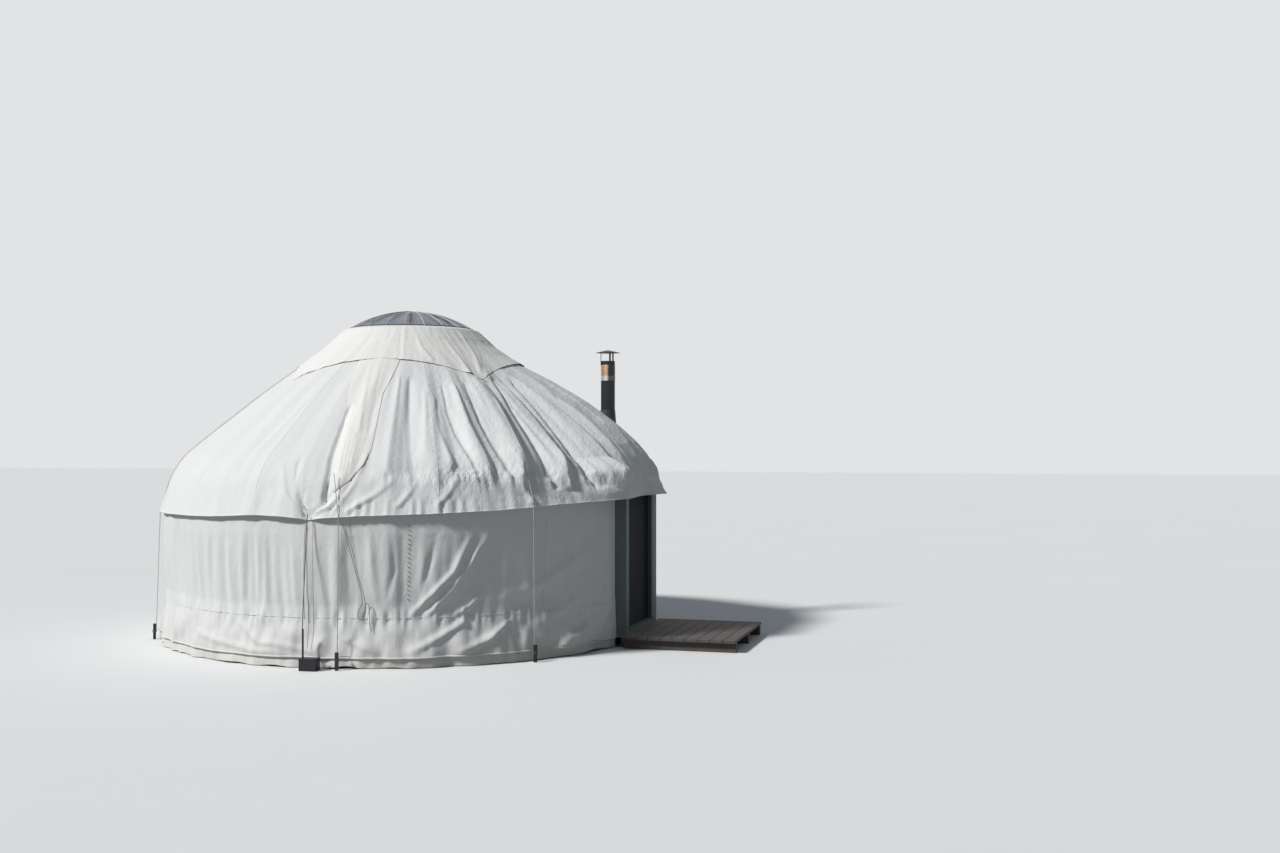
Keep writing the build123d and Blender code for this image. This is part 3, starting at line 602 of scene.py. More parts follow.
def start_material(name, roughness, metallic=0.0):
    """A new material. Gives it, the inputs of its shader and its coordinates."""
    material = bpy.data.materials.new(name)
    material.use_nodes = True
    shader = material.node_tree.nodes["Principled BSDF"].inputs
    feed(shader["Roughness"], roughness)
    feed(shader["Metallic"], metallic)
    return material, shader, new_node(material.node_tree, "TexCoord")


def finish_shader(shader, colour, height, distance):
    """Feeds a colour, and a height through a Bump node, to the shader."""
    feed(shader["Base Color"], colour)
    feed(shader["Normal"], new_node(height.id_data, "Bump", Distance=distance, Height=height)[0])


def canvas_material(name, clean, soiled, crease, distance=0.012):
    """Woven canvas with creases, more of them where the cloth is rumpled, and soil that gathers low down."""
    material, shader, places = start_material(name, 0.88)
    attribute = material.node_tree.nodes.new("ShaderNodeAttribute")
    attribute.attribute_name = "rumple"
    crumpled = plus(times(attribute.outputs["Fac"], 1.2), crease)
    cloth = use_group("cloth", Place=places["UV"], Solid=places["Object"], Crease=crumpled)
    soil_top = 0.34
    low = math_node("MAXIMUM", times(minus(soil_top, part(places["Object"], 2)), 2.2), 0.0)
    soil = math_node("MINIMUM", times(cloth["Soil"], plus(low, 0.35)), 1.0)
    colour = mix_node(times(cloth["Thread"], 0.10), mix_node(soil, clean, soiled), shade(clean, 0.86))
    finish_shader(shader, colour, cloth["Height"], distance)
    feed(shader["Sheen Weight"], 0.10)
    return material


def wood_material(name, light, dark, turn=(0, 0, 0), roughness=0.65, scale=1.0, wear=0.3,
                  worn=(0.3, 0.28, 0.26)):
    """Wood with grain along X of the turned place, and worn patches."""
    material, shader, places = start_material(name, roughness)
    turned = new_node(material.node_tree, "Mapping", Vector=places["Object"], Rotation=turn)[0]
    grain = use_group("grain", Place=turned, Scale=scale)
    colour = mix_node(grain["Grain"], dark, light)
    colour = mix_node(times(grain["Tone"], 0.5), colour, shade(light, 0.6))
    mask = use_group("wear", Place=places["Object"], Size=6.0, Amount=wear)["Mask"]
    finish_shader(shader, mix_node(mask, colour, worn), grain["Height"], 0.0015)
    return material


def paint_material(name, colour, rubbed, roughness, amount, plank=0.0):
    """Painted wood, rubbed through in places, with a groove between planks if plank is their width. The
    groove is darkened with painted shade as well as sunk by a bump.
    """
    material, shader, places = start_material(name, roughness)
    place = places["Object"]
    mask = use_group("wear", Place=place, Size=14.0, Amount=amount)["Mask"]
    base = mix_node(times(noise_node(place, 3.0), 0.6), colour, shade(colour, 0.7))
    height = times(noise_node(stretched(place, (120, 120, 4)), 1.0), 0.3)
    if plank:
        along = math_node("PINGPONG", plus(part(place, 0), plank * 40), plank / 2)
        groove = math_node("MINIMUM", times(along, 260.0), 1.0)
        # The groove's dark colour is painted shade; the bump below sinks it.
        base = mix_node(groove, shade(colour, 0.25), base)
        height = plus(height, times(groove, 2.0))
    finish_shader(shader, mix_node(mask, base, rubbed), height, 0.0015)
    feed(shader["Specular IOR Level"], 0.12)
    return material


def metal_material(name, colour, dusty, roughness, metallic=1.0):
    """Sheet metal with dust and smears."""
    material, shader, places = start_material(name, roughness, metallic)
    mask = use_group("wear", Place=places["Object"], Size=18.0, Amount=0.4)["Mask"]
    smear = noise_node(places["Object"], 26.0, 4)
    feed(shader["Roughness"], plus(times(smear, 0.25), roughness - 0.1))
    finish_shader(shader, mix_node(mask, colour, dusty), smear, 0.0008)
    return material


def tinted_material(name, tint, shaded_colour):
    """Bare steel, bright on the side away from the door where the light falls, as a painted highlight, and
    dark on the other side as a painted shade. On the collar the bright colour is also its heat tint.
    """
    material, shader, places = start_material(name, 0.34, 0.9)
    across = times(minus(part(places["Object"], 0), FLUE_AT.x), -0.41)
    back = times(minus(part(places["Object"], 1), FLUE_AT.y), 0.91)
    cloud = noise_node(places["Object"], 22.0, 4)
    # side runs from 0 on the far side, painted shade, to 1 on the lit side, painted highlight.
    side = plus(times(plus(across, back), 60.0), minus(cloud, 0.6))
    side = math_node("MINIMUM", math_node("MAXIMUM", side, 0.0), 1.0)
    finish_shader(shader, mix_node(side, shaded_colour, tint), cloud, 0.0008)
    return material


def rope_material(name, colour, dark, lay):
    """Laid rope: slanting strands along the cord's own UV, darker between them with painted shade."""
    material, shader, places = start_material(name, 0.85)
    slant = plus(times(part(places["UV"], 0), lay), times(part(places["UV"], 1), 6 * math.pi))
    strand = math_node("ABSOLUTE", math_node("SINE", slant))
    fibre = noise_node(places["Object"], 300.0)
    # The dark colour between the strands is painted shade; fibre noise adds a random darker tone.
    colour = mix_node(times(fibre, 0.4), mix_node(strand, dark, colour), dark)
    finish_shader(shader, colour, strand, 0.002)
    return material


def window_material(name, colour):
    """Clear plastic sheet, a little clouded and scratched."""
    material, shader, places = start_material(name, 0.18)
    cloud = noise_node(places["Object"], 5.0, 5, 0.65)
    waves = noise_node(places["Object"], 9.0)
    finish_shader(shader, mix_node(cloud, colour, shade(colour, 1.5)), waves, 0.006)
    feed(shader["Alpha"], plus(times(cloud, 0.30), 0.58))
    feed(shader["Specular IOR Level"], 0.7)
    return material


def make_materials(looks):
    """Builds the shared groups and every material of the yurt."""
    cloth_group()
    grain_group()
    wear_group()
    upright = (0, math.radians(90), 0)
    MATERIALS.update(
        canvas=canvas_material("white_canvas", looks.canvas, (0.62, 0.60, 0.55), 0.30),
        wall=canvas_material("wall_canvas", looks.canvas, (0.60, 0.57, 0.52), 0.35),
        strip=canvas_material("strip_canvas", (0.80, 0.79, 0.76), (0.66, 0.63, 0.58), 0.40),
        cream=canvas_material("cream_canvas", looks.cream, (0.74, 0.71, 0.65), 0.30),
        seam=canvas_material("seam_tape", shade(looks.canvas, 0.90), (0.5, 0.48, 0.44), 0.2, 0.004),
        window=window_material("clear_sheet", looks.window),
        # The welds' pale colour stands for the light that the window's pleats catch: weld seams with a
        # painted highlight.
        weld=canvas_material("window_weld_painted_highlight", (0.72, 0.72, 0.72), (0.5, 0.5, 0.5), 0.1, 0.002),
        rope=rope_material("white_rope", (0.84, 0.83, 0.79), (0.60, 0.58, 0.53), 900.0),
        cord=rope_material("dark_cord", (0.10, 0.10, 0.10), (0.03, 0.03, 0.03), 1400.0),
        twine=rope_material("brown_twine", (0.27, 0.25, 0.22), (0.12, 0.11, 0.10), 1600.0),
        timber=wood_material("pale_timber", (0.52, 0.37, 0.21), (0.34, 0.21, 0.11)),
        ribs=wood_material("dark_ribs", (0.13, 0.10, 0.08), (0.07, 0.05, 0.04)),
        rod=wood_material("lattice_rods", (0.50, 0.36, 0.20), (0.33, 0.21, 0.11), upright),
        deck=wood_material("floor_boards", (0.27, 0.21, 0.15), (0.16, 0.12, 0.08)),
        boards=wood_material("weathered_boards", looks.boards, (0.045, 0.038, 0.034), roughness=0.8,
                             scale=1.3, wear=0.5, worn=(0.22, 0.20, 0.18)),
        frame_paint=paint_material("grey_green_paint", looks.frame_paint, (0.34, 0.30, 0.24), 0.5, 0.3),
        door_paint=paint_material("slate_paint", looks.door_paint, (0.04, 0.04, 0.04), 0.75, 0.25, 0.095),
        black=metal_material("black_steel", (0.030, 0.032, 0.036), (0.09, 0.085, 0.08), 0.45, 0.6),
        zinc=metal_material("zinc_steel", (0.55, 0.56, 0.57), (0.38, 0.37, 0.35), 0.36),
        # The collar and the band are bright on one side and dark on the other: painted highlight and painted
        # shade.
        tinted=tinted_material("heat_tinted_steel", (0.72, 0.47, 0.32), (0.05, 0.045, 0.045)),
        band=tinted_material("band_steel_painted_highlight", (0.78, 0.77, 0.75), (0.10, 0.10, 0.10)),
        rubber=metal_material("boot_rubber", (0.035, 0.034, 0.033), (0.10, 0.095, 0.09), 0.7, 0.0),
        webbing=canvas_material("webbing", (0.45, 0.37, 0.25), (0.3, 0.25, 0.18), 0.2, 0.003),
    )


def finish_nodes():
    """Gives every carried-over CAD node its material."""
    coats = {
        "timber": ["roof_poles", "crown_hoop"],
        "ribs": ["crown_ribs"],
        "rod": [f"lattice_{i}" for i in range(1, 7)],
        "deck": ["floor_deck"],
        "boards": ["doorstep_boards", "doorstep_joists", "floor_joists"],
        "frame_paint": ["door_jamb_left", "door_jamb_right", "door_head", "door_sill"],
        "door_paint": ["door_leaf"],
        "zinc": ["hinge_frame", "hinge_leaf"],
        "rubber": ["flue_flashing"],
        "band": ["flue_band"],
        "black": ["flue_pipe", "flue_cowl", "tie_stakes", "door_pull", "rope_pegs"],
        "webbing": ["wall_band"],
        "twine": ["hem_tie"],
    }
    for coat, names in coats.items():
        for name in names:
            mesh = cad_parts[name].data
            mesh.materials.clear()
            mesh.materials.append(MATERIALS[coat])


# Cloth pieces

def hood_radius(angle, radius):
    """Radius of the roof cloth where it swells to a flat front over the door frame."""
    front, half, ends = FRAME_FRONT + 0.010, 0.545, 30
    corner = math.degrees(math.atan2(half, front))
    corner_r = math.hypot(half, front)
    size = np.abs(angle)
    flat = front / np.cos(np.radians(np.minimum(size, corner)))
    side = corner_r * radius * math.sin(math.radians(ends - corner)) / (
        corner_r * np.sin(np.radians(np.clip(size - corner, 0, ends - corner)))
        + radius * np.sin(np.radians(np.clip(ends - size, 0, ends - corner))) + 1e-9)
    return np.where(size < ends, np.maximum(np.where(size <= corner, flat, side), radius), radius)


def rumpled_side(angle):
    """How rumpled the cloth is round the plan, from 0 on its smooth side to 1 beside the door and behind."""
    return between(np.abs((angle - SMOOTH_SIDE + 180) % 360 - 180), 30, 66)


def shape_roof(points):
    """Moves points on the smooth roof to where the cloth hangs: facets, billows, folds, hood and hem."""
    angle, radius = polar(points)
    height = points[:, 2]
    within = off_line(angle, BAY)
    busy = rumpled_side(angle)
    slope_part = between(height, EAVE_Z - 0.12, EAVE_Z) * between(2.35 - height, 0, 0.3)
    out = -(0.006 + 0.012 * busy) * slope_part * np.sin(np.pi * within / BAY) ** 2
    out += fold_field(angle, height, radius, ROOF_FOLDS)
    out += fold_field(angle, height, radius, ROOF_CREASES, crisp=True)
    out += (0.005 + 0.010 * busy) * slope_part * ripple(angle, height, 13, 0.9, 1)
    out += (0.002 + 0.006 * busy) * between(2.35 - height, 0, 0.4) * ripple(angle, height, 30, 2.2, 2)
    crimp = np.exp(-((height - CRIMP_Z) / 0.06) ** 2)
    out += (0.003 + 0.013 * busy) * crimp * ripple(angle, height, 34, 6.0, 3)
    valance = between(1.36 - height, 0, 0.12)
    out += valance * (0.013 * ripple(angle, height, 9, 1.5, 4) + 0.005 * ripple(angle, height, 30, 2, 5))
    gather_top, gather_middle = 1.25, -66
    gathered = between(gather_top - height, 0, 0.09) * between(16 - np.abs(angle - gather_middle), 0, 5)
    out += 0.016 * gathered * ripple(angle, height * 0.2, 52, 2, 6)
    off_pole = np.maximum(np.radians(within) * radius - 0.018, 0)
    deepest = -0.003 - 0.8 * off_pole - 0.035 * between(1.28 - height, 0, 0.12)
    at_head = between(24 - np.abs(angle), 0, 3) * between(EAVE_Z - height, 0, 0.04)
    reach = 38 - 15 * between(EAVE_Z - height, 0, 0.16)
    swell = at(height, SWELL) * between(reach - np.abs(angle - SWELL_MIDDLE), 0, 22)
    billow = at(height, BILLOW)
    out = np.maximum(out, deepest * (1 - at_head) - 0.002 * at_head - 0.5 * (swell + billow))
    slant = roof_slant(height)
    radius = radius * facet(angle)
    hood = between(1.60 - height, 0, 0.20) * (hood_radius(angle, radius) - radius)
    flare = 0.035 * between(1.42 - height, 0, 0.25) * between(34 - np.abs(angle), 0, 14)
    radius = np.maximum(radius + hood + flare, radius + swell) + billow + out * np.cos(slant)
    height = height + out * np.sin(slant)
    valance_top = 1.32
    drop = np.clip((valance_top - height) / (valance_top - HEM_Z), 0, 1.05)
    return plan_points(radius, angle, height + drop * (at(angle, HEM_LINE) - HEM_Z))


def cut_flue_hole(bm):
    """Opens the cloth round the flue."""
    hole_r, above = 0.075, 1.3
    middles = [(face, face.calc_center_median()) for face in bm.faces]
    near = [face for face, middle in middles if (middle.xy - FLUE_AT.xy).length < hole_r and middle.z > above]
    bmesh.ops.delete(bm, geom=near, context="FACES")


def rumple(angle, height):
    """How crumpled the roof cloth is at each point: most at the eave, and along the hem."""
    side = rumpled_side(angle)
    eave = np.exp(-((height - CRIMP_Z - 0.01) / 0.06) ** 2)
    hem = between(1.22 - height, 0, 0.06) * (0.25 + 0.35 * side)
    patch_angle, patch_z = -54, 1.42
    patch = np.exp(-((angle - patch_angle) / 6) ** 2 - ((height - patch_z) / 0.12) ** 2)
    return side * (0.30 + 0.50 * eave) + 0.30 * hem + 0.8 * patch


def roof_canvas():
    """The roof canvas, one cloth from the crown to the hem."""
    bm = turned_mesh(roof_outline(ROOF_EDGE_R), 108, 880, crowd=0.75)
    write_points(bm, shape_roof(read_points(bm)))
    cut_flue_hole(bm)
    points = read_points(bm)
    made = shaped("roof_canvas", bm, points, "canvas")
    angle, _ = polar(points)
    crumples = made.data.attributes.new("rumple", "FLOAT", "POINT")
    crumples.data.foreach_set("value", rumple(angle, points[:, 2]).astype(np.float32))
    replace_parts(made, *[f"roof_canvas_{i}" for i in range(1, 7)])


def shape_wall(points, lowest=0.0):
    """Moves points of a smooth drum to where the wall cloth hangs between the two jambs."""
    angle, _ = polar(points)
    height = points[:, 2]
    radius = at(height, WAIST)
    edge = np.degrees(np.arcsin((FRAME_HALF + 0.001) / radius))
    share = np.clip((angle % 360 - OPENING) / (360 - 2 * OPENING), 0, 1)
    angle = edge + share * (360 - 2 * edge)
    signed = (angle + 180) % 360 - 180
    radius = radius * (facet(angle) * 0.5 + 0.5)
    off_jamb = np.minimum(angle - edge, 360 - edge - angle)
    free = between(off_jamb, 0, 4)
    straight = at(1.0, WAIST) + (at(0.0, WAIST) - at(1.0, WAIST)) * np.clip(1 - height, 0, 1)
    radius = straight + (radius - straight) * between(off_jamb, 0, 16)
    out = fold_field(signed, height, radius, WALL_FOLDS)
    upright = between(height, 0.30, 0.55)
    waves = 0.028 * ripple(signed, height, 11, 0.5, 11) + 0.016 * ripple(signed, height, 27, 0.8, 12)
    out += upright * waves
    seam = np.exp(-((height - SKIRT_Z) / 0.07) ** 2)
    out += 0.022 * seam * ripple(signed, height, 52, 3.0, 13)
    loose = between(SKIRT_Z - height, 0, 0.2)
    flutter = 0.040 * ripple(signed, height, 10, 4.0, 14) + 0.018 * ripple(signed, height, 26, 6.0, 15)
    out += loose * (0.012 + flutter)
    out += 0.010 * between(height, 0.85, 1.1) * ripple(signed, height, 40, 1.0, 16)
    out *= 1 - 0.8 * between(height, 0.78, 1.06)
    deepest = -0.012 + 0.012 * between(height, 0.95, 1.06)
    radius = radius + np.clip(out, deepest, 0.055) * (0.15 + 0.85 * free) + 0.004
    climb = 0.085 * between(height, 1.0, WALL_TOP) * between(62 - np.abs(signed), 0, 25)
    height = height + 0.026 * loose * ripple(signed, height * 0, 8, 1.0, 17) + climb
    return plan_points(radius, angle, np.maximum(height, lowest))


def drum(name, foot_z, top_z, along, around, coat, inset=0.0):
    """A band of wall cloth from jamb to jamb."""
    bm = turned_mesh([(DRUM_R, foot_z), (DRUM_R, top_z)], along, around, OPENING, 360 - 2 * OPENING)
    points = shape_wall(read_points(bm), GROUND_Z)
    _, radius = polar(points)
    points[:, :2] *= ((radius - inset) / radius)[:, None]
    return shaped(name, bm, points, coat)


def wall_canvas():
    """The wall canvas from under the roof hem to its rolled hem, over the strip that meets the ground."""
    made = drum("wall_canvas", WALL_HEM_Z, WALL_TOP, 62, 760, "wall")
    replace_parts(made, *[f"wall_canvas_{i}" for i in range(1, 7)])


def ground_strip():
    """The loose strip under the wall's hem."""
    made = drum("ground_strip", GROUND_Z, 0.13, 8, 600, "strip", inset=0.012)


def star_radius(angle):
    """Edge of the cap: a square cloth whose four corners are pulled out."""
    return at(np.abs((angle + 80) % 90 - 45), CAP_EDGE)


def crown_cap():
    """The cream cap: drawn over the hoop, then lying on the roof as a square cloth."""
    eye_r, hoop_r, knee_r = 0.548, 0.588, 0.70
    slope = 0.917
    over_hoop = HOOP_TOP + 0.006
    knee_z = over_hoop - slope * (knee_r - hoop_r)
    outline = [(eye_r, dome_height(eye_r) + 0.004), (hoop_r, over_hoop), (0.614, over_hoop - slope * 0.026),
               (knee_r, knee_z), (1.0, knee_z)]
    bm = turned_mesh(outline, 46, 540)
    points = read_points(bm)
    angle, radius = polar(points)
    share = np.clip((radius - knee_r) / 0.30, 0, 1)
    radius = np.where(radius > knee_r, knee_r + share * (star_radius(angle) - knee_r), radius)
    lying = shape_roof(plan_points(radius, angle, cone_height(radius)))
    lying[:, 2] = np.maximum(lying[:, 2] + 0.005, over_hoop - slope * (radius - hoop_r))
    drawn = plan_points(radius, angle, points[:, 2])
    placed = np.where((points[:, 2] > knee_z + 0.001)[:, None], drawn, lying)
    pleated = between(0.90 - radius, 0, 0.25) * between(radius, 0.56, 0.64)
    out = 0.006 * pleated * ripple(angle, radius, 14, 1.0, 21)
    out += 0.005 * between(radius, 0.7, 0.95) * ripple(angle, radius, 22, 5.0, 22)
    out += fold_field(angle, placed[:, 2], radius, CAP_CREASES, crisp=True) * between(radius, 0.55, 0.68)
    placed[:, 2] += np.maximum(out, -0.002)
    made = shaped("crown_cap_cloth", bm, placed, "cream")
    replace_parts(made, "crown_cap")


def crown_flap():
    """The long cream flap from the cap down to the eave, that narrows to the rope at its foot."""
    bm = grid_mesh(26, 104, 0.33, 1.46)
    points = read_points(bm)
    across, down = points[:, 0], np.clip(points[:, 1], 0, 1)
    line = np.array(roof_outline(0.86))
    radius, height = walk(line, down * np.interp(-FLAP_LEFT[0][0], -line[:, 1], run_along(line)))
    left, right = at(height, FLAP_LEFT), at(height, FLAP_RIGHT)
    angle = left + across * (right - left)
    lying = shape_roof(plan_points(radius, angle, height))
    least = 0.0032
    lift = least + 0.007 * np.sin(np.pi * across) + 0.003 * np.abs(ripple(angle, height, 34, 3.0, 23))
    lift = np.maximum(lift + fold_field(angle, height, radius, FLAP_CREASES, crisp=True), least)
    slant = roof_slant(height)
    away = plan_points(np.cos(slant), angle, np.sin(slant))
    made = shaped("crown_flap", bm, lying + away * lift[:, None], "cream")
    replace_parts(made, "roof_strip")


def crown_window():
    """The clear domed window, that sinks a little between its radial welds, with the welds on it. The welds
    are pale as a painted highlight of the light on the pleats, and a dark rim cord is a painted shade.
    """
    outline = []
    for step in range(25):
        radius = WINDOW_R * step / 24
        outline.append((radius, BALL_Z + math.sqrt((BALL_R - 0.001) ** 2 - radius ** 2)))
    bm = turned_mesh(outline, 22, 168)
    points = read_points(bm)
    angle, radius = polar(points)
    slack = np.clip(radius / 0.3, 0, 1) * between(WINDOW_R - radius, 0, 0.1)
    points[:, 2] -= 0.010 * np.sin(np.pi * off_line(angle, WELD_PITCH) / WELD_PITCH) * slack
    made = shaped("window_sheet", bm, points, "window")
    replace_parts(made, "crown_window")
    # Pale welds: weld seams coloured as a painted highlight along the pleats.
    welds = [[on_plan(r, turn, z + 0.0005) for r, z in outline[1::2]] for turn in range(0, 360, WELD_PITCH)]
    tube("window_welds_painted_highlight", welds, 0.0030, "weld")
    # A dark cord round the rim stands in for the shade along the cap's top edge: a painted shade.
    rim_r = 0.535
    rim = [on_plan(rim_r, turn, dome_height(rim_r)) for turn in range(0, 361, 10)]
    tube("window_rim_painted_shade_cord", [rim], 0.005, "cord")


# Ropes, stitches and ties

def rope_route(angle, top_angle):
    """The line of a taut rope from the cap, over the cloth and across its hollows, to its peg."""
    top_r = FLAP_FOOT_R if angle == FLAP_ROPE else float(star_radius(top_angle)) + 0.004
    line = np.array(roof_outline(top_r))
    length = run_along(line)[-1]
    places = np.linspace(0, length, 70)
    radius, height = walk(line, places)
    angles = top_angle + (angle - top_angle) * np.clip(places / length * 1.3, 0, 1)
    lying = shape_roof(plan_points(radius, angles, height))
    _, radius = polar(lying)
    slant = roof_slant(lying[:, 2])
    off = ROPE_R * 1.5
    profile = list(zip(radius + off * np.cos(slant), lying[:, 2] + off * np.sin(slant), angles))
    profile.append((PEG_R - 0.013, PEG_TOP * 0.55, angle))
    taut = []
    for point in profile:
        while len(taut) > 1 and ((taut[-1][0] - taut[-2][0]) * (point[1] - taut[-2][1])
                                 - (taut[-1][1] - taut[-2][1]) * (point[0] - taut[-2][0])) >= 0:
            taut.pop()
        taut.append(point)
    taut = np.array(taut)
    places = np.linspace(0, run_along(taut[:, :2])[-1], 80)
    return [on_plan(r, a, z) for r, z, a in zip(*walk(taut, places))]


def small_ring(middle, size, sides, turns=1):
    """Points of a level ring round a point, rising a little with each turn."""
    points = []
    for i in range(sides * turns + 1):
        turn = 2 * math.pi * i / sides
        points.append(middle + Vector((size * math.cos(turn), size * math.sin(turn), 0.008 * i / sides)))
    return points


def tie_ropes():
    """The taut ropes, with a ring at the cap where no flap leads to it, and turns round the pegs."""
    routes, rings, turns = [], [], []
    for angle, top_angle in zip(ROPE_ANGLES, ROPE_TOPS):
        routes.append(rope_route(angle, top_angle))
        turns.append(small_ring(on_plan(PEG_R, angle, PEG_TOP * 0.45), 0.0165, 9, 3))
        if angle != FLAP_ROPE:
            rings.append(small_ring(routes[-1][0] + Vector((0, 0, 0.002)), 0.012, 8))
    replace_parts(tube("tie_rope_lines", routes, ROPE_R, "rope", sides=8), "tie_ropes")
    tube("rope_rings", rings, ROPE_R * 0.9, "rope")
    tube("rope_turns", turns, ROPE_R * 0.9, "twine")


def on_wall(places):
    """Points on the wall's cloth, for places of (angle, height, distance off it)."""
    places = np.array(places, float)
    turn = OPENING + (places[:, 0] % 360 - 13.85) / 332.3 * (360 - 2 * OPENING)
    angle, radius = polar(shape_wall(plan_points(DRUM_R, turn, places[:, 1])))
    return [on_plan(r + off, a, z) for r, a, z, off in zip(radius, angle, places[:, 1], places[:, 2])]


def lacing():
    """Lacing that closes the wall's joints, and twine from the hem's tie to its stake."""
    routes = []
    for joint in (-66.1, 66.0, 126.0, 174.0):
        for i in range(17):
            z = 1.05 - i * 0.034
            routes.append(on_wall([(joint - 0.32, z, 0.003), (joint, z - 0.006, 0.007),
                                   (joint + 0.32, z - 0.014, 0.003)]))
    tube("wall_lacing", routes, TWINE_R, "twine")
    twine = on_wall([(-87.4, 1.05, 0.014), (-87.6, 0.80, 0.016), (-87.7, 0.50, 0.018), (-87.6, 0.36, 0.026)])
    tube("hem_twine", [twine], TWINE_R, "twine")


def slack_cord():
    """The free end of a tie that hangs down the wall from under the hem, looped near its foot."""
    route = on_wall([(-79.5, 1.05, 0.010), (-78.4, 0.90, 0.010), (-76.9, 0.70, 0.010), (-75.6, 0.53, 0.012),
                     (-75.6, 0.46, 0.014), (-76.4, 0.42, 0.016), (-76.3, 0.36, 0.018), (-75.4, 0.35, 0.020),
                     (-75.0, 0.42, 0.022), (-74.8, 0.48, 0.022), (-74.1, 0.47, 0.020), (-73.9, 0.40, 0.018),
                     (-74.1, 0.33, 0.016), (-73.6, 0.27, 0.014)])
    curve = cord_curve("slack_cord", [route], 0.0022, 8, 8)
    curve.materials.append(MATERIALS["twine"])
    made = new_object("slack_cord", curve)


def wall_seams():
    """Stitched seams of the wall: round it over the skirt, at the joints of its panels, and its hem."""
    around = [15 + i * 1.1 for i in range(301)]
    tube("skirt_seam", [on_wall([(a, SKIRT_Z + 0.005, 0.0008) for a in around])], 0.0022, "seam")
    uprights = []
    for joint in (-87.1, -86.0, -36.0, 36.0, 96.0, 156.0, -156.0):
        uprights.append(on_wall([(joint, 1.10 - i * 0.03, 0.0004) for i in range(34)]))
    tube("panel_seams", uprights, 0.0015, "seam")
    hem = on_wall([(a, WALL_HEM_Z + 0.003, 0.001) for a in around])
    tube("rolled_hem", [hem], 0.007, "wall", 8)


def roof_seams():
    """Sewn seams of the roof gores and the doubled hem."""
    top_r = 0.80
    line = roof_outline(top_r)
    straight = [top_r + (line[1][0] - top_r) * i / 40 for i in range(41)]
    outline = [(r, cone_height(r)) for r in straight] + line[2:]
    routes = []
    for joint in (-20, -60, -100, -140, 180, 140, 100, 60, 20):
        routes.append(shape_roof(np.array([on_plan(r, joint + 0.1, z) for r, z in outline])))
    tube("gore_seams", routes, 0.0016, "canvas")
    ring = np.array([on_plan(line[-1][0], -180 + i * 0.75, HEM_Z + 0.001) for i in range(481)])
    tube("roof_hem", [shape_roof(ring)], 0.0042, "canvas")


# Wood and metal trims

def rounded_block(name, low, high, coat):
    """A block with eased edges between two corners."""
    bm = bmesh.new()
    bmesh.ops.create_cube(bm, size=1)
    low, high = Vector(low), Vector(high)
    bmesh.ops.scale(bm, vec=high - low, verts=bm.verts)
    bmesh.ops.translate(bm, vec=(low + high) / 2, verts=bm.verts)
    bmesh.ops.bevel(bm, geom=bm.edges[:], offset=0.002, affect="EDGES", segments=2, profile=0.5, material=-1)
    piece(name, bm, coat, smooth=False)


def heads(name, spots, radius, coat):
    """Domed heads of nails or rivets, one at each spot, facing its own way."""
    bm = bmesh.new()
    for spot, facing in spots:
        made = bmesh.ops.create_uvsphere(bm, u_segments=8, v_segments=4, radius=radius)["verts"]
        bmesh.ops.scale(bm, vec=(1, 1, 0.45), verts=made)
        turn = Vector(facing).to_track_quat("Z", "Y").to_matrix()
        bmesh.ops.rotate(bm, verts=made, cent=(0, 0, 0), matrix=turn)
        bmesh.ops.translate(bm, verts=made, vec=spot)
    piece(name, bm, coat)


def lattice_rivets():
    """A rivet through each crossing of the lattice."""
    spots = []
    low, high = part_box("floor_deck")[1].z + 0.045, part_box("lattice_2")[1].z - 0.060
    rows, inner_r = 6, 1.989
    for i in range(360 // BAY):
        for row in range(rows + 1):
            angle = (i + (0.5 if row % 2 else 0.0)) * BAY
            if min(angle, 360 - angle) < 15:
                continue
            spots.append((on_plan(inner_r, angle, low + (high - low) * row / rows), on_plan(-1, angle)))
    heads("lattice_rivets", spots, 0.006, "zinc")


def board_nails():
    """Two nails in each doorstep board over each joist."""
    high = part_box("doorstep_boards")[1]
    pitch, first, aside, joist_x = 0.102, 0.048, 0.022, 0.5225
    spots = []
    for i in range(9):
        for x in (-joist_x, 0.0, joist_x):
            for dy in (-aside, aside):
                spots.append((Vector((x, high.y - first - i * pitch + dy, high.z + 0.0002)), (0, 0, 1)))
    heads("board_nails", spots, 0.005, "black")


def reveal_strips():
    """Painted strips along the edges of the door's reveal, a white one on the right."""
    half, wide, front = 0.410, 0.010, -FRAME_FRONT
    foot, top = 0.135, 1.275
    for side, edge, coat in (("right", half - wide, "canvas"), ("left", -half, "frame_paint")):
        low, high = (edge, front - 0.001, foot), (edge + wide, front + 0.022, top)
        rounded_block("reveal_strip_" + side, low, high, coat)


def flue_collar():
    """The bare length of steel pipe over the band."""
    foot, top, pipe_r, collar_r = 2.252, 2.350, 0.0640, 0.0648
    outline = [(pipe_r, foot), (collar_r, foot + 0.010), (collar_r, top - 0.005), (pipe_r, top)]
    bm = turned_mesh(outline, 4, 48)
    bmesh.ops.translate(bm, verts=bm.verts, vec=(FLUE_AT.x, FLUE_AT.y, 0))
    bmesh.ops.recalc_face_normals(bm, faces=bm.faces)
    # Its material paints a highlight on one side of the collar and shade on the other.
    piece("flue_collar", bm, "tinted")


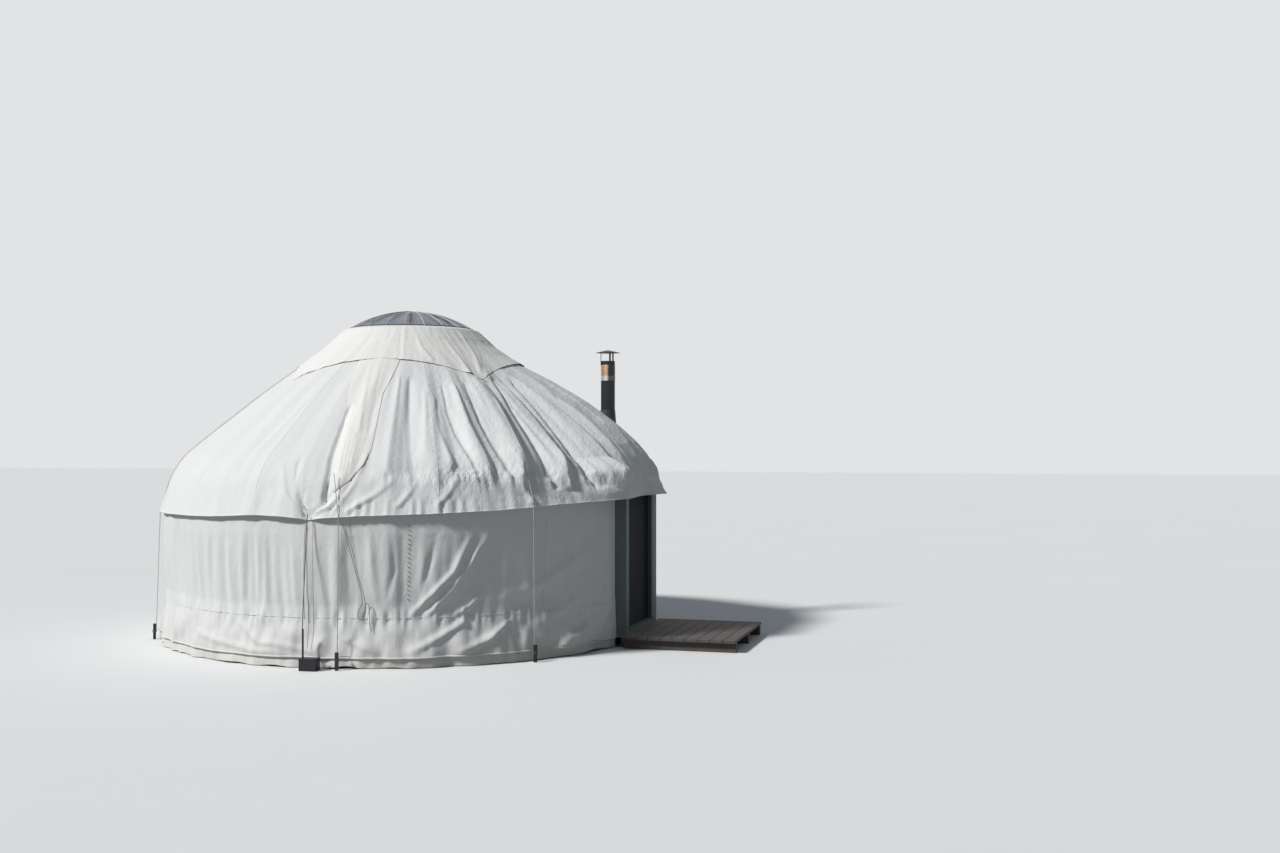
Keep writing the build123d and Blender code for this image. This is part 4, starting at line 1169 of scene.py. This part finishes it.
def flue_boot():
    """The rubber boot that closes the cloth round the flue. Its skirt lies on the cloth."""
    cloth = BVHTree.FromObject(bpy.data.objects["roof_canvas"], bpy.context.evaluated_depsgraph_get())
    sides = 48
    down = Vector((0, 0, -1))
    skirt = [(0.135, 0.004), (0.118, 0.005), (0.098, 0.010)]
    neck = [(0.074, 0.45), (0.0668, 0.9), (0.0660, 1.0)]
    spots = []
    for i in range(sides + 1):
        turn = 2 * math.pi * i / sides
        for r, _ in skirt:
            above = Vector((FLUE_AT.x + r * math.cos(turn), FLUE_AT.y + r * math.sin(turn), 3))
            met = cloth.ray_cast(above, down)[0]
            spots.append(met.z if met else None)
    crest = max(z for z in spots if z)
    base = min(z for z in spots if z)
    rows = len(skirt + neck) - 1
    bm = grid_mesh(sides, rows, 0.9, 0.2)
    for vertex in bm.verts:
        i, j = round(vertex.co.x * sides), round(vertex.co.y * rows)
        turn = 2 * math.pi * i / sides
        size, lift = (skirt + neck)[j]
        low = spots[i * len(skirt) + min(j, len(skirt) - 1)] or base
        z = low + (lift if j < len(skirt) else lift * (crest + 0.018 - low))
        vertex.co = (FLUE_AT.x + size * math.cos(turn), FLUE_AT.y + size * math.sin(turn), z)
    bmesh.ops.remove_doubles(bm, verts=bm.verts, dist=1e-5)
    outwards(bm)
    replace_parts(piece("flue_boot", bm, "rubber"), "flue_flashing")


# Floor, light and camera

def stage_floor():
    """A pale level floor."""
    bm = bmesh.new()
    bmesh.ops.create_grid(bm, x_segments=1, y_segments=1, size=60)
    mesh = bpy.data.meshes.new("stage_floor")
    bm.to_mesh(mesh)
    bm.free()
    floor = bpy.data.objects.new("stage_floor", mesh)
    floor.location.z = -0.001
    bpy.context.scene.collection.objects.link(floor)
    material, shader, places = start_material("floor_paper", 0.9)
    seen = mix_node(noise_node(places["Object"], 0.6, 2), (0.85, 0.85, 0.84), (0.88, 0.88, 0.87))
    feed(shader["Base Color"], mix_node(seen_directly(material.node_tree), (0.30, 0.31, 0.30), seen))
    mesh.materials.append(material)


def light_world(fill):
    """An even cool light all round, behind which the camera sees a pale backdrop."""
    world = bpy.data.worlds.new("studio")
    world.use_nodes = True
    tree = world.node_tree
    light = tree.nodes["Background"]
    feed(light.inputs["Color"], (0.74, 0.87, 1))
    feed(light.inputs["Strength"], fill)
    mix = tree.nodes.new("ShaderNodeMixShader")
    feed(mix.inputs[0], seen_directly(tree))
    feed(mix.inputs[1], light.outputs[0])
    feed(mix.inputs[2], new_node(tree, "Background", Color=(0.76, 0.77, 0.78))[0])
    feed(tree.nodes["World Output"].inputs["Surface"], mix.outputs[0])
    return world


def make_stage(scene, stage):
    """The floor, the light and the camera."""
    stage_floor()
    scene.view_settings.view_transform = "Standard"
    scene.world = light_world(stage.fill)
    lamp = bpy.data.lights.new("key", "SUN")
    lamp.energy = stage.key
    rise, softness, bearing = math.radians(40), math.radians(8), -134
    lamp.angle = softness
    key = bpy.data.objects.new("key", lamp)
    aim = -(on_plan(math.cos(rise), bearing) + Vector((0, 0, math.sin(rise))))
    key.rotation_euler = aim.to_track_quat("-Z", "Y").to_euler()
    scene.collection.objects.link(key)
    eye = bpy.data.cameras.new("photo_view")
    eye.lens = stage.lens
    eye.sensor_width = 36
    eye.clip_end = 200
    camera = bpy.data.objects.new("photo_view", eye)
    camera.location = on_plan(stage.distance, stage.bearing, stage.height)
    ahead = -camera.location.copy()
    ahead.z = 0
    ahead.normalize()
    ahead = Matrix.Rotation(-math.radians(stage.aside), 3, "Z") @ ahead
    tilt = math.radians(0.56)
    ahead.z = math.tan(tilt)
    camera.rotation_euler = ahead.to_track_quat("-Z", "Y").to_euler()
    scene.collection.objects.link(camera)
    scene.camera = camera


# Settings, operators and panel

def colour_setting(label, description, colour):
    """A colour that the panel lists."""
    return bpy.props.FloatVectorProperty(
        name=label, description=description, subtype="COLOR", size=3, min=0, max=1, default=colour)


def number_setting(label, description, low, high, value, unit="NONE"):
    """A number that the panel lists."""
    return bpy.props.FloatProperty(
        name=label, description=description, min=low, max=high, default=value, unit=unit)


class YurtLooks(bpy.types.PropertyGroup):
    """Colours of the yurt."""
    canvas: colour_setting("Canvas", "Colour of the clean white canvas", (0.80, 0.80, 0.80))
    cream: colour_setting("Cap canvas", "Colour of the cream cap and flap", (0.85, 0.84, 0.805))
    window: colour_setting("Window", "Tint of the clear window", (0.13, 0.15, 0.20))
    boards: colour_setting("Doorstep boards", "Pale tone of the weathered boards", (0.14, 0.12, 0.11))
    frame_paint: colour_setting("Frame paint", "Paint of the door frame", (0.16, 0.19, 0.185))
    door_paint: colour_setting("Door paint", "Paint of the leaf", (0.010, 0.012, 0.014))


class YurtStage(bpy.types.PropertyGroup):
    """The camera and the light."""
    distance: number_setting("Camera distance", "From the eye to the yurt's middle", 5, 40, 12.33, "LENGTH")
    bearing: number_setting("Camera bearing", "Round the yurt from the door, in degrees", -180, 180, -65.5)
    height: number_setting("Camera height", "Height of the eye", 0.2, 5, 1.673, "LENGTH")
    lens: number_setting("Lens", "Focal length in millimetres", 10, 200, 38.81)
    aside: number_setting("Turned aside", "How far the camera looks to the right, in degrees", -40, 40, 9.39)
    key: number_setting("Key light", "Strength of the soft key light", 0, 10, 3.15)
    fill: number_setting("Fill light", "Strength of the even light all round", 0, 2, 0.17)


class YURT_OT_finishes(bpy.types.Operator):
    """Builds the materials and gives the frame's parts theirs"""
    bl_idname = "yurt.finishes"
    bl_label = "Finishes"

    def execute(self, context):
        make_materials(context.scene.yurt_looks)
        finish_nodes()
        return {"FINISHED"}


class YURT_OT_roof(bpy.types.Operator):
    """Makes the roof canvas with its seams"""
    bl_idname = "yurt.roof"
    bl_label = "Roof canvas"

    def execute(self, context):
        roof_canvas()
        roof_seams()
        return {"FINISHED"}


class YURT_OT_wall(bpy.types.Operator):
    """Makes the wall canvas, its ground strip, seams, lacing and loose cord"""
    bl_idname = "yurt.wall"
    bl_label = "Wall canvas"

    def execute(self, context):
        wall_canvas()
        ground_strip()
        wall_seams()
        lacing()
        slack_cord()
        return {"FINISHED"}


class YURT_OT_crown(bpy.types.Operator):
    """Makes the cap, its long flap and the domed window"""
    bl_idname = "yurt.crown"
    bl_label = "Crown"

    def execute(self, context):
        crown_cap()
        crown_flap()
        crown_window()
        return {"FINISHED"}


class YURT_OT_ropes(bpy.types.Operator):
    """Makes the taut ropes"""
    bl_idname = "yurt.ropes"
    bl_label = "Ropes"

    def execute(self, context):
        tie_ropes()
        return {"FINISHED"}


class YURT_OT_trims(bpy.types.Operator):
    """Makes the nails, rivets, reveal strips and the flue's collar and boot"""
    bl_idname = "yurt.trims"
    bl_label = "Trims"

    def execute(self, context):
        lattice_rivets()
        board_nails()
        reveal_strips()
        flue_collar()
        flue_boot()
        return {"FINISHED"}


class YURT_OT_stage(bpy.types.Operator):
    """Makes the floor, the light and the camera"""
    bl_idname = "yurt.stage"
    bl_label = "Stage"

    def execute(self, context):
        make_stage(context.scene, context.scene.yurt_stage)
        return {"FINISHED"}


class YURT_PT_panel(bpy.types.Panel):
    """Lists the yurt's operators and settings"""
    bl_label = "Yurt"
    bl_idname = "YURT_PT_panel"
    bl_space_type = "VIEW_3D"
    bl_region_type = "UI"
    bl_category = "Yurt"

    def draw(self, context):
        for operator in OPERATORS:
            self.layout.operator(operator.bl_idname)
        for settings in (context.scene.yurt_looks, context.scene.yurt_stage):
            for name in settings.bl_rna.properties.keys():
                if name not in ("rna_type", "name"):
                    self.layout.prop(settings, name)


OPERATORS = (YURT_OT_finishes, YURT_OT_roof, YURT_OT_wall, YURT_OT_crown, YURT_OT_ropes, YURT_OT_trims,
             YURT_OT_stage)
CLASSES = (YurtLooks, YurtStage, *OPERATORS, YURT_PT_panel)


def register():
    """Registers the classes and the scene's settings."""
    for item in CLASSES:
        bpy.utils.register_class(item)
    bpy.types.Scene.yurt_looks = bpy.props.PointerProperty(type=YurtLooks)
    bpy.types.Scene.yurt_stage = bpy.props.PointerProperty(type=YurtStage)


def unregister():
    """Removes the scene's settings and the classes."""
    del bpy.types.Scene.yurt_stage
    del bpy.types.Scene.yurt_looks
    for item in reversed(CLASSES):
        bpy.utils.unregister_class(item)


def main():
    """Makes the whole yurt."""
    register()
    bpy.ops.yurt.finishes()
    bpy.ops.yurt.roof()
    bpy.ops.yurt.wall()
    bpy.ops.yurt.crown()
    bpy.ops.yurt.ropes()
    bpy.ops.yurt.trims()
    bpy.ops.yurt.stage()


if __name__ == "__main__":
    main()
